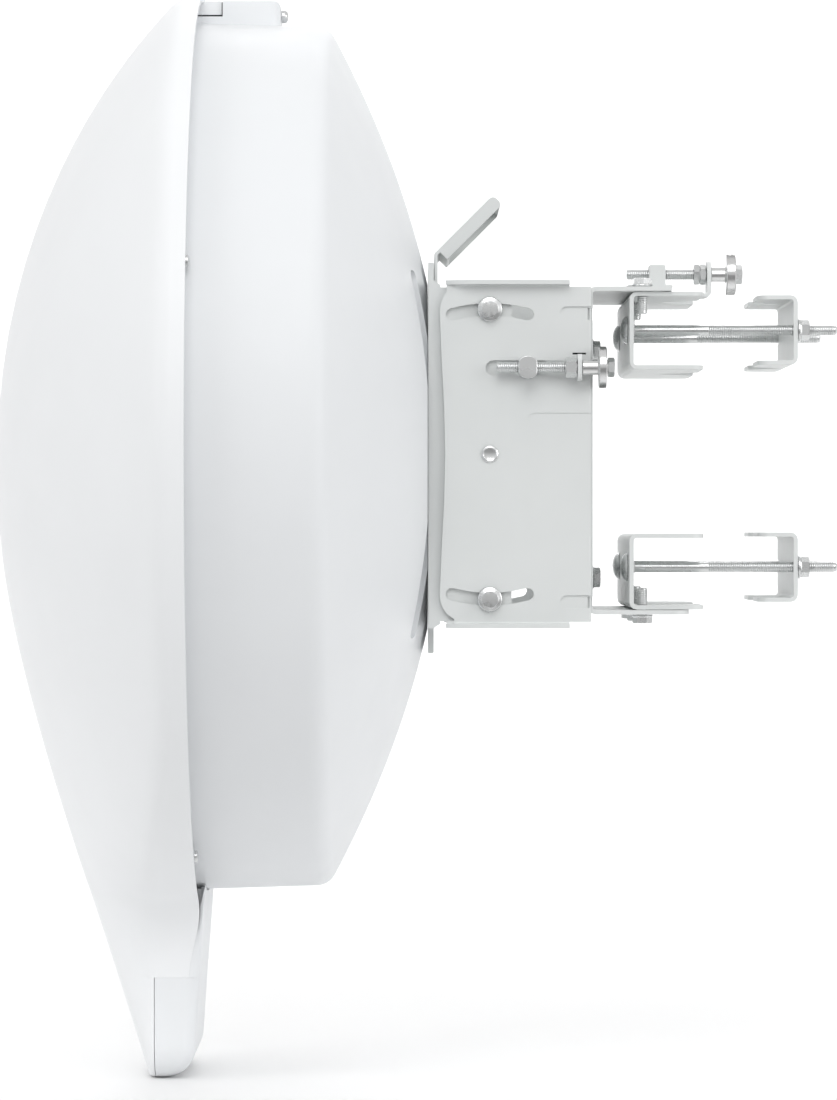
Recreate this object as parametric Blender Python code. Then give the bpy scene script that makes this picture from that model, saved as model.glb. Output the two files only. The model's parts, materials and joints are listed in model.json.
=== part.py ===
"""Outdoor wireless bridge: a dish radio on a two-axis pole bracket.

World frame: +Z up, the dish looks along -X, the pole's axis is the Z axis and the
dish's own axis lies on X.  Lengths in this file are millimetres; MM turns them into
Blender's metres when a mesh or a location is made.
"""
import math

import bmesh
import bpy
from mathutils import Matrix, Vector

MM = 0.001

# ---------------------------------------------------------------- driving sizes
GAP = 0.3                      # clearance left between neighbouring pieces
SHEET = 2.3                    # bracket steel
PLATE_SHEET = 3.0              # mount plate steel
THREAD = 2.8                   # radius of an M6 thread
BORE = 3.3                     # clearance hole for M6

# dish and radome
RIM_RADIUS = 251.0             # outside of the radome's rim
DRUM_RADIUS = 237.0            # rear housing, at its front
DRUM_REAR_RADIUS = 235.0       # the same after its mould draft
APEX_X = -395.0                # furthest front point of the radome
RIM_X = -289.0                 # plane where drum, latch and tail housing meet the radome
RIM_REAR_X = -282.3            # rear edge of the radome's rim, which covers the drum's flange
RIM_BOW = 1.0                  # how much further back that edge lies at the sides
STEP_START = 5.0               # from the tail's sides to the rim's step forward to RIM_X
STEP_WIDTH = 20.0
DOME_X = -149.7                # vertex of the paraboloid that the housing's back follows
DOME_SPAN = 860.0              # four times that paraboloid's focal length
BOSS_X = -160.1                # flat boss that carries the mount plate
WALL = 2.8                     # moulded wall thickness
FOOT_Z = -336.5                # lowest point of the tail
TAIL_HALF = 55.0               # half width of the tail
FOOT_CORNER = 20.0             # rounding of the tail's end, seen from the front
COVER_TOP = -281.0             # upper edge of the port cover
COVER_FRONT = -307.0           # front edge of the port cover

# brackets
PIVOT_X = -127.0               # elevation pivot, on the dish axis
LOCK_RADIUS = 77.2             # elevation lock bolts, from that pivot
SIDE_Y = 80.0                  # outer face of the elevation bracket's sides
BRACKET_TOP = 89.3             # the bracket's sides end at +/- this
BACK_X = -74.7                 # rear face of the elevation bracket's back wall
SIDE_REAR_X = -73.0            # its sides run on a little further
ADJUSTER_Y = -87.0             # elevation adjusting screw
ADJUSTER_Z = 46.0
AZIMUTH_X = -45.3              # azimuth pivot
AZIMUTH_LIMIT = math.radians(7)
AZIMUTH_BOLT_Y = 69.0
PLATE_TOP = 89.5               # top face of the azimuth bracket's upper plate
PLATE_BOTTOM = -85.4           # underside of its lower plate
AZIMUTH_SCREW_Y = -50.0
AZIMUTH_SCREW_Z = 97.3
SCREW_TAB_X = -9.9             # front face of that screw's bearing tab

# pole clamp
CLAMP_X = -52.4                # rear face of the inner clamps' walls
CLAMP_TIP_X = -12.7
CLAMP_HALF = 75.0
JAW_X = 39.1                   # outer face of the outer clamps
JAW_TIP_X = 17.6
JAW_HALF = 55.5
POLE_BOLT_Y = 50.0
POLE_BOLT_Z = (67.3, -60.3)    # upper pair, lower pair
POLE_BOLT_END = 60.4
NOTCH_APEX = 35.4              # V notches hold a 50 mm pole between their flanks

# colours: base colour, roughness, metallic
RADOME_WHITE = ((0.86, 0.87, 0.87), 0.42, 0.0)
HOUSING_WHITE = ((0.80, 0.81, 0.82), 0.45, 0.0)
BRACKET_GREY = ((0.66, 0.68, 0.68), 0.50, 0.0)
ZINC = ((0.62, 0.63, 0.64), 0.32, 1.0)
BRIGHT_STEEL = ((0.80, 0.80, 0.81), 0.25, 1.0)
ALUMINIUM = ((0.72, 0.73, 0.74), 0.40, 1.0)
BOARD_GREEN = ((0.03, 0.20, 0.09), 0.55, 0.0)
CERAMIC = ((0.70, 0.66, 0.55), 0.60, 0.0)
BLACK_RUBBER = ((0.03, 0.03, 0.03), 0.80, 0.0)
BLACK_PLASTIC = ((0.05, 0.05, 0.06), 0.50, 0.0)


# ---------------------------------------------------------------- outlines
def rounded(corners, steps=3):
    """Closed outline from (u, v, radius) corners, each with its own fillet."""
    outline = []
    for index, (u, v, radius) in enumerate(corners):
        corner = Vector((u, v))
        if radius == 0:
            outline.append(tuple(corner))
            continue
        previous = corners[index - 1]
        following = corners[(index + 1) % len(corners)]
        before = (Vector(previous[:2]) - corner).normalized()
        after = (Vector(following[:2]) - corner).normalized()
        half = before.angle(after) / 2
        centre = corner + (before + after).normalized() * radius / math.sin(half)
        start = corner + before * radius / math.tan(half) - centre
        end = corner + after * radius / math.tan(half) - centre
        turn = math.atan2(start.x * end.y - start.y * end.x, start.dot(end))
        for step in range(steps + 1):
            outline.append(tuple(centre + Matrix.Rotation(turn * step / steps, 2) @ start))
    return outline


def arc(centre, radius, start, end, steps):
    """Points on an arc, angles in radians."""
    points = []
    for step in range(steps + 1):
        angle = start + (end - start) * step / steps
        points.append((centre[0] + radius * math.cos(angle), centre[1] + radius * math.sin(angle)))
    return points


def circle(centre, radius, steps=20):
    return arc(centre, radius, 0, math.tau * (steps - 1) / steps, steps - 1)


def hexagon(centre, across_flats):
    return circle(centre, across_flats / math.sqrt(3), 6)


def box_outline(low_u, high_u, low_v, high_v):
    return [(low_u, low_v), (high_u, low_v), (high_u, high_v), (low_u, high_v)]


def stadium(start, end, radius, steps=5):
    """Slot with round ends, from one end's centre to the other's."""
    heading = math.atan2(end[1] - start[1], end[0] - start[0])
    quarter = math.pi / 2
    return (arc(start, radius, heading + quarter, heading + 3 * quarter, steps)
            + arc(end, radius, heading - quarter, heading + quarter, steps))


def arc_slot(centre, radius, half_width, middle, half_angle, steps=5):
    """Slot that follows an arc about `centre`, with round ends."""
    low, high = middle - half_angle, middle + half_angle
    low_end = (centre[0] + radius * math.cos(low), centre[1] + radius * math.sin(low))
    high_end = (centre[0] + radius * math.cos(high), centre[1] + radius * math.sin(high))
    return (arc(centre, radius + half_width, low, high, steps)
            + arc(high_end, half_width, high, high + math.pi, 5)[1:-1]
            + arc(centre, radius - half_width, high, low, steps)
            + arc(low_end, half_width, low + math.pi, low + math.tau, 5)[1:-1])


# ---------------------------------------------------------------- solids
def place(u, v, along, axis):
    """Point with outline coordinates (u, v) at a height along an axis."""
    if axis == "X":
        return Vector((along, u, v)) * MM
    if axis == "Y":
        return Vector((u, along, v)) * MM
    return Vector((u, v, along)) * MM


def make_object(name, bm):
    """Turn a closed bmesh into an object with smooth round faces."""
    bmesh.ops.recalc_face_normals(bm, faces=bm.faces)
    mesh = bpy.data.meshes.new(name)
    bm.to_mesh(mesh)
    bm.free()
    obj = bpy.data.objects.new(name, mesh)
    bpy.context.scene.collection.objects.link(obj)
    return obj


def prism(outline, axis, low, high, name="tool"):
    """Outline extruded along an axis."""
    bm = bmesh.new()
    lower = [bm.verts.new(place(u, v, low, axis)) for u, v in outline]
    upper = [bm.verts.new(place(u, v, high, axis)) for u, v in outline]
    bm.faces.new(lower)
    bm.faces.new(upper)
    for index in range(len(outline)):
        after = (index + 1) % len(outline)
        bm.faces.new((lower[index], lower[after], upper[after], upper[index]))
    return make_object(name, bm)


def box(low, high, name="tool"):
    return prism(box_outline(low[0], high[0], low[1], high[1]), "Z", low[2], high[2], name)


def lathe(profile, axis, centre, steps=24, name="tool"):
    """Solid turned about an axis from (along, radius) points.

    The profile either starts and ends on the axis or closes on itself as a ring.
    """
    bm = bmesh.new()
    rings = []
    for along, radius in profile:
        if radius == 0:
            rings.append([bm.verts.new(place(*centre, along, axis))])
        else:
            rings.append([bm.verts.new(place(u, v, along, axis))
                          for u, v in circle(centre, radius, steps)])
    pairs = list(zip(rings, rings[1:]))
    if profile[0][1] > 0:
        pairs.append((rings[-1], rings[0]))
    for ring, following in pairs:
        for index in range(steps):
            after = (index + 1) % steps
            corners = [ring[index % len(ring)], following[index % len(following)],
                       following[after % len(following)], ring[after % len(ring)]]
            bm.faces.new(list(dict.fromkeys(corners)))
    return make_object(name, bm)


def tube(radius, axis, low, high, centre, steps=16, name="tool"):
    return prism(circle(centre, radius, steps), axis, low, high, name)


def ring(outer, inner, axis, low, high, centre, steps=24, name="tool"):
    profile = [(low, inner), (low, outer), (high, outer), (high, inner)]
    return lathe(profile, axis, centre, steps, name)


def bake(obj):
    """Replace an object's mesh with its evaluated mesh."""
    evaluated = obj.evaluated_get(bpy.context.evaluated_depsgraph_get())
    mesh = bpy.data.meshes.new_from_object(evaluated)
    old = obj.data
    obj.modifiers.clear()
    obj.data = mesh
    bpy.data.meshes.remove(old)
    mesh.name = obj.name


def combine(obj, operation, tools):
    """Boolean the tools into an object, then remove them."""
    for tool in tools:
        modifier = obj.modifiers.new("boolean", "BOOLEAN")
        modifier.operation = operation
        modifier.solver = "EXACT"
        modifier.object = tool
        bpy.context.view_layer.update()
        bake(obj)
        mesh = tool.data
        bpy.data.objects.remove(tool)
        bpy.data.meshes.remove(mesh)
    return obj


def cut(obj, *tools):
    return combine(obj, "DIFFERENCE", tools)


def join(obj, *tools):
    return combine(obj, "UNION", tools)


def trim(obj, *tools):
    return combine(obj, "INTERSECT", tools)


def finish(obj, parent, look):
    """Give a piece its material and shading, and hang it on its body."""
    colour, roughness, metallic = look
    material = bpy.data.materials.new(obj.name + "_finish")
    material.use_nodes = True
    shader = material.node_tree.nodes["Principled BSDF"]
    shader.inputs["Base Color"].default_value = (*colour, 1.0)
    shader.inputs["Roughness"].default_value = roughness
    shader.inputs["Metallic"].default_value = metallic
    obj.data.materials.clear()
    obj.data.materials.append(material)
    obj.data.shade_smooth()
    obj.data.set_sharp_from_angle(angle=math.radians(35))
    obj.parent = parent
    obj.matrix_parent_inverse = parent.matrix_world.inverted()
    return obj


def body_empty(name, location, parent=None):
    """Empty on a body's joint axis; the body's pieces hang on it."""
    empty = bpy.data.objects.new(name, None)
    bpy.context.scene.collection.objects.link(empty)
    empty.empty_display_size = 0.02
    empty.location = Vector(location) * MM
    bpy.context.view_layer.update()
    if parent:
        empty.parent = parent
        empty.matrix_parent_inverse = parent.matrix_world.inverted()
        bpy.context.view_layer.update()
    return empty


def copies(first, names_and_places, rotation=(0, 0, 0)):
    """Repeat a piece, with its own copy of the mesh at each place."""
    pieces = []
    for name, location in names_and_places:
        piece = first
        if pieces:
            piece = bpy.data.objects.new(name, first.data.copy())
            bpy.context.scene.collection.objects.link(piece)
        piece.name = name
        piece.rotation_euler = rotation
        piece.location = Vector(location) * MM
        pieces.append(piece)
    bpy.context.view_layer.update()
    return pieces


# ---------------------------------------------------------------- radome
BLEND = 40.0                   # softness of the corner where rim runs into tail
SPINE_SLOPE = 0.36             # the front's backward lean, far down the tail
SPINE_REACH = 110.0            # length over which that lean builds up
SPINE_START = 15.0             # height below the axis where it starts
FRONT_HEIGHT = 340.0           # half axis of the ellipse that the front follows
DISH_EDGE_X = -294.1           # where the front's curve meets the rim's side wall
TAIL_EDGE_X = -309.0           # the same on the tail
TAIL_SQUARENESS = 0.96


def half_width(z, inset=0.0):
    """Half width of the front outline at a height below the dish axis."""
    if z > -RIM_RADIUS:
        dish = math.sqrt(RIM_RADIUS ** 2 - z ** 2)
    else:
        dish = -math.sqrt(z ** 2 - RIM_RADIUS ** 2)
    softness = BLEND * min(1.0, -z / 150.0)
    width = (dish + TAIL_HALF + math.hypot(dish - TAIL_HALF, softness)) / 2
    lift = FOOT_Z + FOOT_CORNER - z
    if lift > 0:
        corner = FOOT_CORNER - inset
        return width - FOOT_CORNER + math.sqrt(max(0.0, corner ** 2 - lift ** 2))
    return width - inset


def spine_x(z):
    """Front of the radome in its middle plane, below the axis."""
    below = max(0.0, -z - SPINE_START)
    return APEX_X + SPINE_SLOPE * (math.hypot(below, SPINE_REACH) - SPINE_REACH)


def tail_share(z):
    """0 on the dish, 1 on the tail, smooth between."""
    t = min(1.0, max(0.0, (-z - 120.0) / 140.0))
    return t * t * (3 - 2 * t)


def front_x(spine, z, share):
    """Radome surface at a share (0 middle, 1 edge) of the way to the outline."""
    tail = tail_share(min(z, 0.0))
    roundness = RIM_RADIUS / FRONT_HEIGHT
    roundness += (TAIL_SQUARENESS - roundness) * tail
    edge = DISH_EDGE_X + (TAIL_EDGE_X - DISH_EDGE_X) * tail
    fall = 1 - math.sqrt(1 - (roundness * share) ** 2)
    return spine + (edge - spine) * fall / (1 - math.sqrt(1 - roundness ** 2))


def rim_x(y, z):
    """Rear edge of the radome: nearly flat round the dish, stepped forward on the tail."""
    round_dish = RIM_REAR_X + RIM_BOW * (y / RIM_RADIUS) ** 2
    if z > 0:
        return round_dish
    t = min(1.0, max(0.0, (abs(y) - TAIL_HALF - STEP_START) / STEP_WIDTH))
    return RIM_X + (round_dish - RIM_X) * t * t * (3 - 2 * t)


def radome_rays(inset, angles=12, tail_rows=4, corner_rows=3):
    """Outline points with their spine heights: a half ring, then rows down the tail."""
    rays = []
    radius = RIM_RADIUS - inset
    for step in range(angles):
        angle = math.pi / 2 * (1 - step / angles)
        rays.append((radius * math.cos(angle), radius * math.sin(angle), 0.0))
    straight_end = FOOT_Z + FOOT_CORNER
    heights = [-RIM_RADIUS * math.sin(math.pi / 2 * step / angles) for step in range(angles - 1)]
    dish_end = heights[-1]
    heights += [dish_end + (straight_end - dish_end) * step / tail_rows
                for step in range(1, tail_rows + 1)]
    for z in heights:
        rays.append((half_width(z, inset), z, z))
    for step in range(1, corner_rows + 1):
        z = straight_end - (FOOT_CORNER - inset) * math.sin(math.pi / 2 * step / corner_rows)
        rays.append((half_width(z, inset), z, z))
    return rays


def radome_solid(inset, rear_x, name="tool"):
    """The radome's outside as a solid, shrunk by an inset; rear_x(y, z) ends its rim."""
    shares = [math.sin(math.pi / 2 * step / 6) for step in range(1, 7)]
    bm = bmesh.new()
    ends = {}
    sides = {1: [], -1: []}
    for edge_y, edge_z, spine_z in radome_rays(inset):
        spine = spine_x(spine_z)
        if spine_z not in ends:
            ends[spine_z] = (bm.verts.new(place(0, spine_z, spine + inset, "X")),
                             bm.verts.new(place(0, spine_z, rear_x(0, spine_z), "X")))
        for side in sides:
            if edge_y < 1e-6 and side == -1:
                sides[side].append(sides[1][-1])
                continue
            row = [ends[spine_z][0]]
            for share in shares:
                y = side * edge_y * share
                z = spine_z + (edge_z - spine_z) * share
                x = front_x(spine, spine_z, share) + inset
                row.append(bm.verts.new(place(y, z, x, "X")))
            row.append(bm.verts.new(place(side * edge_y, edge_z, rear_x(edge_y, edge_z), "X")))
            row.append(ends[spine_z][1])
            sides[side].append(row)
    for rows in sides.values():
        for row, below in zip(rows, rows[1:]):
            for inner, outer, low_outer, low_inner in zip(row, row[1:], below[1:], below):
                bm.faces.new(list(dict.fromkeys((inner, outer, low_outer, low_inner))))
    bm.faces.new(sides[1][-1] + sides[-1][-1][-2:0:-1])
    return make_object(name, bm)


LATCH_HALF = 22.0              # half width of the latch block on top of the drum
LATCH_TOP = 248.3
LATCH_NOTCH_Z = 242.1
LATCH_NOTCH_X = -272.5
LATCH_REAR_X = -240.4
LATCH_SCREW_Z = 242.0
TAB_HALF = 20.0
TAB_ROOT_Z = 247.5             # where the tab grows out of the radome
LUG_HALF = 6.0


def build_radome(body):
    """Front shell: a dome that runs down into a boxed tail, with its locating tab."""
    shell = radome_solid(0.0, rim_x, "radome_shell")
    cut(shell, radome_solid(WALL, lambda y, z: RIM_X + 20),
        box((COVER_FRONT - GAP, -90, FOOT_Z - 5), (-270, 90, COVER_TOP)))
    tab = [(RIM_X - 2.5, TAB_ROOT_Z), (RIM_X - 0.2, TAB_ROOT_Z),
           (RIM_X - 0.2, LATCH_NOTCH_Z + GAP), (LATCH_NOTCH_X - GAP, LATCH_NOTCH_Z + GAP),
           (LATCH_NOTCH_X - GAP, LATCH_TOP), (RIM_X - 2.5, LATCH_TOP)]
    tongue = prism(tab, "Y", -TAB_HALF, TAB_HALF)
    lug = box((RIM_X, -LUG_HALF, 238.2), (RIM_X + 5.5, LUG_HALF, LATCH_TOP - 1))
    join(tongue, lug)
    cut(tongue, tube(2.1, "X", RIM_X - 1, LATCH_NOTCH_X + 5, (0, LATCH_SCREW_Z), 12))
    join(shell, tongue)
    finish(shell, body, RADOME_WHITE)


# ---------------------------------------------------------------- rear housing
FLANGE_RADIUS = 247.0          # flange that the radome's rim covers
PAD_X = -175.0                 # inside of the thick pad behind the boss
POCKET_FLOOR = -171.5          # clearance pockets for the elevation bracket's front edges


def dome_x(radius):
    return DOME_X - radius ** 2 / DOME_SPAN


def dome_radius(x):
    return math.sqrt((DOME_X - x) * DOME_SPAN)


def bend(start, corner, end, steps=4):
    """Quadratic curve from start to end that aims at the corner."""
    points = []
    for step in range(steps + 1):
        t = step / steps
        points.append(tuple((1 - t) ** 2 * a + 2 * t * (1 - t) * b + t * t * c
                            for a, b, c in zip(start, corner, end)))
    return points


def build_rear_housing(body):
    """Drum with a paraboloid back, a flat boss and a flange for the radome."""
    inner = WALL + 0.2
    edge = DRUM_REAR_RADIUS
    turn_radius = 230.0
    boss_radius = dome_radius(BOSS_X)
    pad_radius = dome_radius(PAD_X + inner)
    inner_dome = [pad_radius + (turn_radius - 2 - pad_radius) * step / 3 for step in range(4)]
    outer_dome = [turn_radius - (turn_radius - boss_radius) * step / 5 for step in range(1, 6)]
    profile = [(PAD_X, 0)] + [(dome_x(radius) - inner, radius) for radius in inner_dome]
    profile += [(-222.0, edge - inner), (RIM_X - 3.0, edge - inner), (RIM_X - 3.0, FLANGE_RADIUS),
                (RIM_X - 0.6, FLANGE_RADIUS), (RIM_X - 0.6, DRUM_RADIUS)]
    profile += bend((-220.0, edge), (dome_x(edge), edge), (dome_x(turn_radius), turn_radius))
    profile += [(dome_x(radius), radius) for radius in outer_dome] + [(BOSS_X, 0)]
    housing = lathe(profile, "X", (0, 0), 40, "rear_housing")
    cut(housing, box((PAD_X - 5, -67, -102), (BOSS_X - inner, 67, 102)))
    for side in (-1, 1):
        low, high = sorted((side * 72.5, side * 87.5))
        pocket = rounded([(low, -98, 5), (high, -98, 5), (high, 98, 5), (low, 98, 5)], 3)
        cut(housing, prism(pocket, "X", POCKET_FLOOR, BOSS_X + 10))
    finish(housing, body, HOUSING_WHITE)


def build_seal(body):
    seal = ring(241.0, 236.0, "X", RIM_X - 6.6, RIM_X - 3.3, (0, 0), 48, "radome_seal")
    finish(seal, body, BLACK_RUBBER)


REFLECTOR_X = -174.0           # vertex of the reflector's front face
REFLECTOR_SPAN = 684.0         # four times its focal length
REFLECTOR_RADIUS = 228.0


def build_reflector(body):
    """Spun aluminium paraboloid."""
    count = 6
    radii = [REFLECTOR_RADIUS * step / count for step in range(count + 1)]
    front = [(REFLECTOR_X - radius ** 2 / REFLECTOR_SPAN, radius) for radius in radii]
    back = [(x + 2.0, radius) for x, radius in reversed(front)]
    reflector = lathe(front + back, "X", (0, 0), 32, "main_reflector")
    finish(reflector, body, ALUMINIUM)


# ---------------------------------------------------------------- tail
TAIL_TOP_Z = -238.0            # height where the tail leaves the drum
TAIL_TOP_X = -278.9            # its rear face there
TAIL_LEAN = 0.055
HEEL = 16.0                    # rounding of the tail's end, seen from the side


def tail_rear_x(z):
    """Rear face of the tail, with its rounded heel."""
    x = TAIL_TOP_X + TAIL_LEAN * (z - TAIL_TOP_Z)
    lift = FOOT_Z + HEEL - z
    if lift > 0:
        x -= HEEL - math.sqrt(max(0.0, HEEL ** 2 - lift ** 2))
    return x


def tail_block(heights, front, inset, name="tool"):
    """Loft of horizontal sections with rounded rear corners, open pocket or shell."""
    bm = bmesh.new()
    sections = []
    for z in heights:
        rear = tail_rear_x(z) - inset
        width = min(half_width(z), TAIL_HALF + 1.5) - inset
        corner = min(7.0, width / 2, (rear - front) * 0.6)
        outline = rounded([(front, -width, 0), (rear, -width, corner),
                           (rear, width, corner), (front, width, 0)], 4)
        sections.append([bm.verts.new(place(x, y, z, "Z")) for x, y in outline])
    bm.faces.new(sections[0])
    bm.faces.new(sections[-1])
    for upper, lower in zip(sections, sections[1:]):
        for index in range(len(upper)):
            after = (index + 1) % len(upper)
            bm.faces.new((upper[index], upper[after], lower[after], lower[index]))
    return make_object(name, bm)


def build_tail_housing(body):
    """Shallow shell behind the tail, between the drum and the port cover."""
    heights = [-225.0, -245.0, -262.0, COVER_TOP]
    housing = tail_block(heights, RIM_X + GAP, 0, "tail_housing")
    pocket = tail_block([-200.0, -245.0, COVER_TOP - 5], RIM_X - 2, WALL)
    cut(housing, pocket, tube(DRUM_RADIUS + 0.6, "X", -300, -270, (0, 0), 64))
    finish(housing, body, HOUSING_WHITE)


GLAND_X = -300.4
FOOT_ROUND = 22.0              # height of the port cover's rounded lower part


def build_port_cover(body):
    """Lower end of the tail; it slides down to bare the sockets."""
    round_top = FOOT_Z + FOOT_ROUND
    straight = [COVER_TOP - GAP, -300.0, round_top]
    rounding = [round_top - FOOT_ROUND * math.sin(math.pi / 2 * step / 5) for step in range(1, 6)]
    cover = tail_block(straight + rounding, COVER_FRONT, 0, "port_cover")
    pocket_heights = [COVER_TOP + 5, -300.0, -318.0, -327.0, FOOT_Z + WALL]
    cut(cover, tail_block(pocket_heights, COVER_FRONT - 5, WALL))
    cut(cover, tube(4.2, "Z", FOOT_Z - 5, FOOT_Z + 10, (GLAND_X, 0)))
    finish(cover, body, HOUSING_WHITE)

    floor = FOOT_Z + WALL
    gland = lathe([(FOOT_Z + 0.6, 2.6), (FOOT_Z + 0.6, 3.9), (floor + GAP, 3.9),
                   (floor + GAP, 5.4), (floor + 2.3, 5.4), (floor + 6.0, 3.4),
                   (floor + 6.0, 2.6)], "Z", (GLAND_X, 0), 16, "cable_gland")
    finish(gland, body, BLACK_RUBBER)


# ---------------------------------------------------------------- latch on the drum
def build_latch(body, screw_body):
    """Block on top of the drum whose captive screw holds the radome's tab."""
    plan = rounded([(RIM_X + GAP, -LATCH_HALF, 0), (LATCH_REAR_X, -LATCH_HALF, 6),
                    (LATCH_REAR_X, LATCH_HALF, 6), (RIM_X + GAP, LATCH_HALF, 0)])
    block = prism(plan, "Z", 228, LATCH_TOP + 5, "latch_housing")
    side = rounded([(RIM_X - 3, 220, 0), (LATCH_REAR_X + 3, 220, 0),
                    (LATCH_REAR_X - 0.2, LATCH_TOP, 3.5), (RIM_X - 3, LATCH_TOP, 0)])
    trim(block, prism(side, "Y", -40, 40))
    cut(block,
        tube(DRUM_RADIUS + 0.4, "X", -300, -200, (0, 0), 64),
        box((RIM_X - 5, -40, LATCH_NOTCH_Z), (LATCH_NOTCH_X, 40, LATCH_TOP + 9)),
        box((RIM_X - 5, -LUG_HALF - 0.4, 230), (RIM_X + 6, LUG_HALF + 0.4, LATCH_TOP + 9)),
        tube(2.1, "X", -290, LATCH_REAR_X + 5, (0, LATCH_SCREW_Z)))
    finish(block, body, HOUSING_WHITE)

    head = LATCH_REAR_X + GAP
    screw = lathe([(head, 0), (head, 3.6), (head + 2.0, 3.7), (head + 3.2, 2.6),
                   (head + 3.6, 0)], "X", (0, LATCH_SCREW_Z), 16, "latch_screw")
    join(screw, tube(1.6, "X", RIM_X + 1, head + 1, (0, LATCH_SCREW_Z), 12))
    finish(screw, screw_body, ZINC)


# ---------------------------------------------------------------- radio unit
BOOM_TOP = Vector((-380.0, 34.0))
BOOM_END = Vector((-318.0, -262.0))
BOOM_HALF = 32.0
CASE_DEPTH = 16.0
LID_REAR = 18.8


def boom(outline):
    """Map (distance down the boom, depth behind its front) to (x, z)."""
    down = (BOOM_END - BOOM_TOP).normalized()
    back = Vector((-down.y, down.x))
    return [tuple(BOOM_TOP + down * u + back * v) for u, v in outline]


def boom_box(low_u, high_u, low_v, high_v, low_y, high_y, name="tool"):
    return prism(boom(box_outline(low_u, high_u, low_v, high_v)), "Y", low_y, high_y, name)


def build_radio(body):
    """Slim radio case from the focus down to the tail, with its boards and sockets."""
    length = (BOOM_END - BOOM_TOP).length
    wall = 2.2
    case = boom_box(0, length, 0, CASE_DEPTH, -BOOM_HALF, BOOM_HALF, "radio_case")
    cut(case, boom_box(wall, length - wall, wall, CASE_DEPTH + 5,
                       wall - BOOM_HALF, BOOM_HALF - wall))
    finish(case, body, ALUMINIUM)

    board = boom_box(6, length - 6, 5, 6.6, -28, 28, "main_board")
    finish(board, body, BOARD_GREEN)

    lid = boom_box(0, length, CASE_DEPTH + GAP, LID_REAR, -BOOM_HALF, BOOM_HALF, "radio_cover")
    for index in range(5):
        y = -24.0 + 12.0 * index
        join(lid, boom_box(80, length - 12, LID_REAR - 1, LID_REAR + 6, y - 1, y + 1))
    finish(lid, body, ALUMINIUM)

    base = -351.2
    horn = lathe([(base, 0), (base, 9), (base + 3, 9), (base + 11, 15), (base + 11, 13.2),
                  (base + 4, 6), (base + 4, 0)], "X", (0, 0), 24, "feed_horn")
    finish(horn, body, BRIGHT_STEEL)

    finish(boom_box(170, 240, -7, -5.4, -22, 22, "aux_antenna_board"), body, BOARD_GREEN)
    finish(boom_box(-7, -1, 2, 14, -12, 12, "gps_antenna"), body, CERAMIC)

    jack = boom_box(length + 0.5, length + 17, 0, 13.5, -27, -11, "ethernet_jack")
    cut(jack, boom_box(length + 5, length + 20, 3, 10.5, -25, -13))
    finish(jack, body, BLACK_PLASTIC)
    cage = boom_box(length + 0.5, length + 17, 1, 11, -4, 11, "sfp_cage")
    cut(cage, boom_box(length + 4, length + 20, 2.2, 9.8, -2.8, 9.8))
    finish(cage, body, BRIGHT_STEEL)


# ---------------------------------------------------------------- mount plate and handle
FLANGE_Y = SIDE_Y - SHEET - GAP - 0.1
PLATE_X = BOSS_X + GAP
PLATE_REAR = PLATE_X + PLATE_SHEET
TAB_TOP = 104.2                # upper and lower tabs of the mount plate's web
TAB_BOTTOM = -106.8
TAB_WIDTH = 45.0
SHOULDER = 92.8                # height of the flanges beside the web
FLANGE_END = -115.4            # rear edge of the flanges


def build_mount_plate(body):
    """Channel on the boss: its web takes the dish, its flanges turn in the bracket."""
    inner = FLANGE_Y - PLATE_SHEET
    rear = -96.5
    channel = rounded([(PLATE_X, -FLANGE_Y, 3.2), (rear, -FLANGE_Y, 0), (rear, -inner, 0),
                       (PLATE_REAR, -inner, 0.9), (PLATE_REAR, inner, 0.9),
                       (rear, inner, 0), (rear, FLANGE_Y, 0), (PLATE_X, FLANGE_Y, 3.2)])
    plate = prism(channel, "Z", TAB_BOTTOM - 1, TAB_TOP + 1, "mount_plate")

    front, rise, step = PLATE_X - 2, PLATE_REAR + 0.3, PLATE_X + 6.4
    edge = BRACKET_TOP - GAP
    ledge = SHOULDER - 2.4
    upper = [(front, TAB_TOP, 0), (rise, TAB_TOP, 1.2), (rise, SHOULDER - 0.5, 0),
             (step, ledge, 0), (step, edge, 0), (FLANGE_END, edge, 4)]
    ear = [(FLANGE_END, 66, 0), (-97.0, 61, 3), (-97.0, 34, 3), (FLANGE_END, 30, 0)]
    lower = [(FLANGE_END, -edge, 4), (step, -edge, 0), (step, -ledge, 0),
             (rise, 0.5 - SHOULDER, 0), (rise, TAB_BOTTOM, 1.2), (front, TAB_BOTTOM, 0)]
    trim(plate, prism(rounded(upper + ear + lower), "Y", -90, 90))
    for low, high in ((SHOULDER, 110), (-110, -SHOULDER)):
        for side_low, side_high in ((-90, -TAB_WIDTH), (TAB_WIDTH, 90)):
            cut(plate, box((front, side_low, low), (step + 1, side_high, high)))

    cut(plate, tube(4.0, "Y", -90, 90, (PIVOT_X, 0), 24))
    for sign in (-1, 1):
        cut(plate, tube(3.2, "Y", -90, 90, (PIVOT_X, sign * LOCK_RADIUS)))
        for z in (-45, 45):
            cut(plate, tube(2.7, "X", front, PLATE_REAR + 1, (sign * 52, z), 16))
    fork = stadium((PIVOT_X + 18.0, 42.5), (PIVOT_X + 21.7, 53.5), 4.8, 6)
    cut(plate, prism(fork, "Y", -90, 0))
    finish(plate, body, BRACKET_GREY)


HANDLE_HALF = 38.0
HANDLE_SHEET = 1.9
HANDLE_FOOT = 88.0             # lower edge of its upright tab
HANDLE_BEND = 109.5            # where it starts to lean back
HANDLE_LENGTH = 45.0
HANDLE_DEPTH = 7.4


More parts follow.
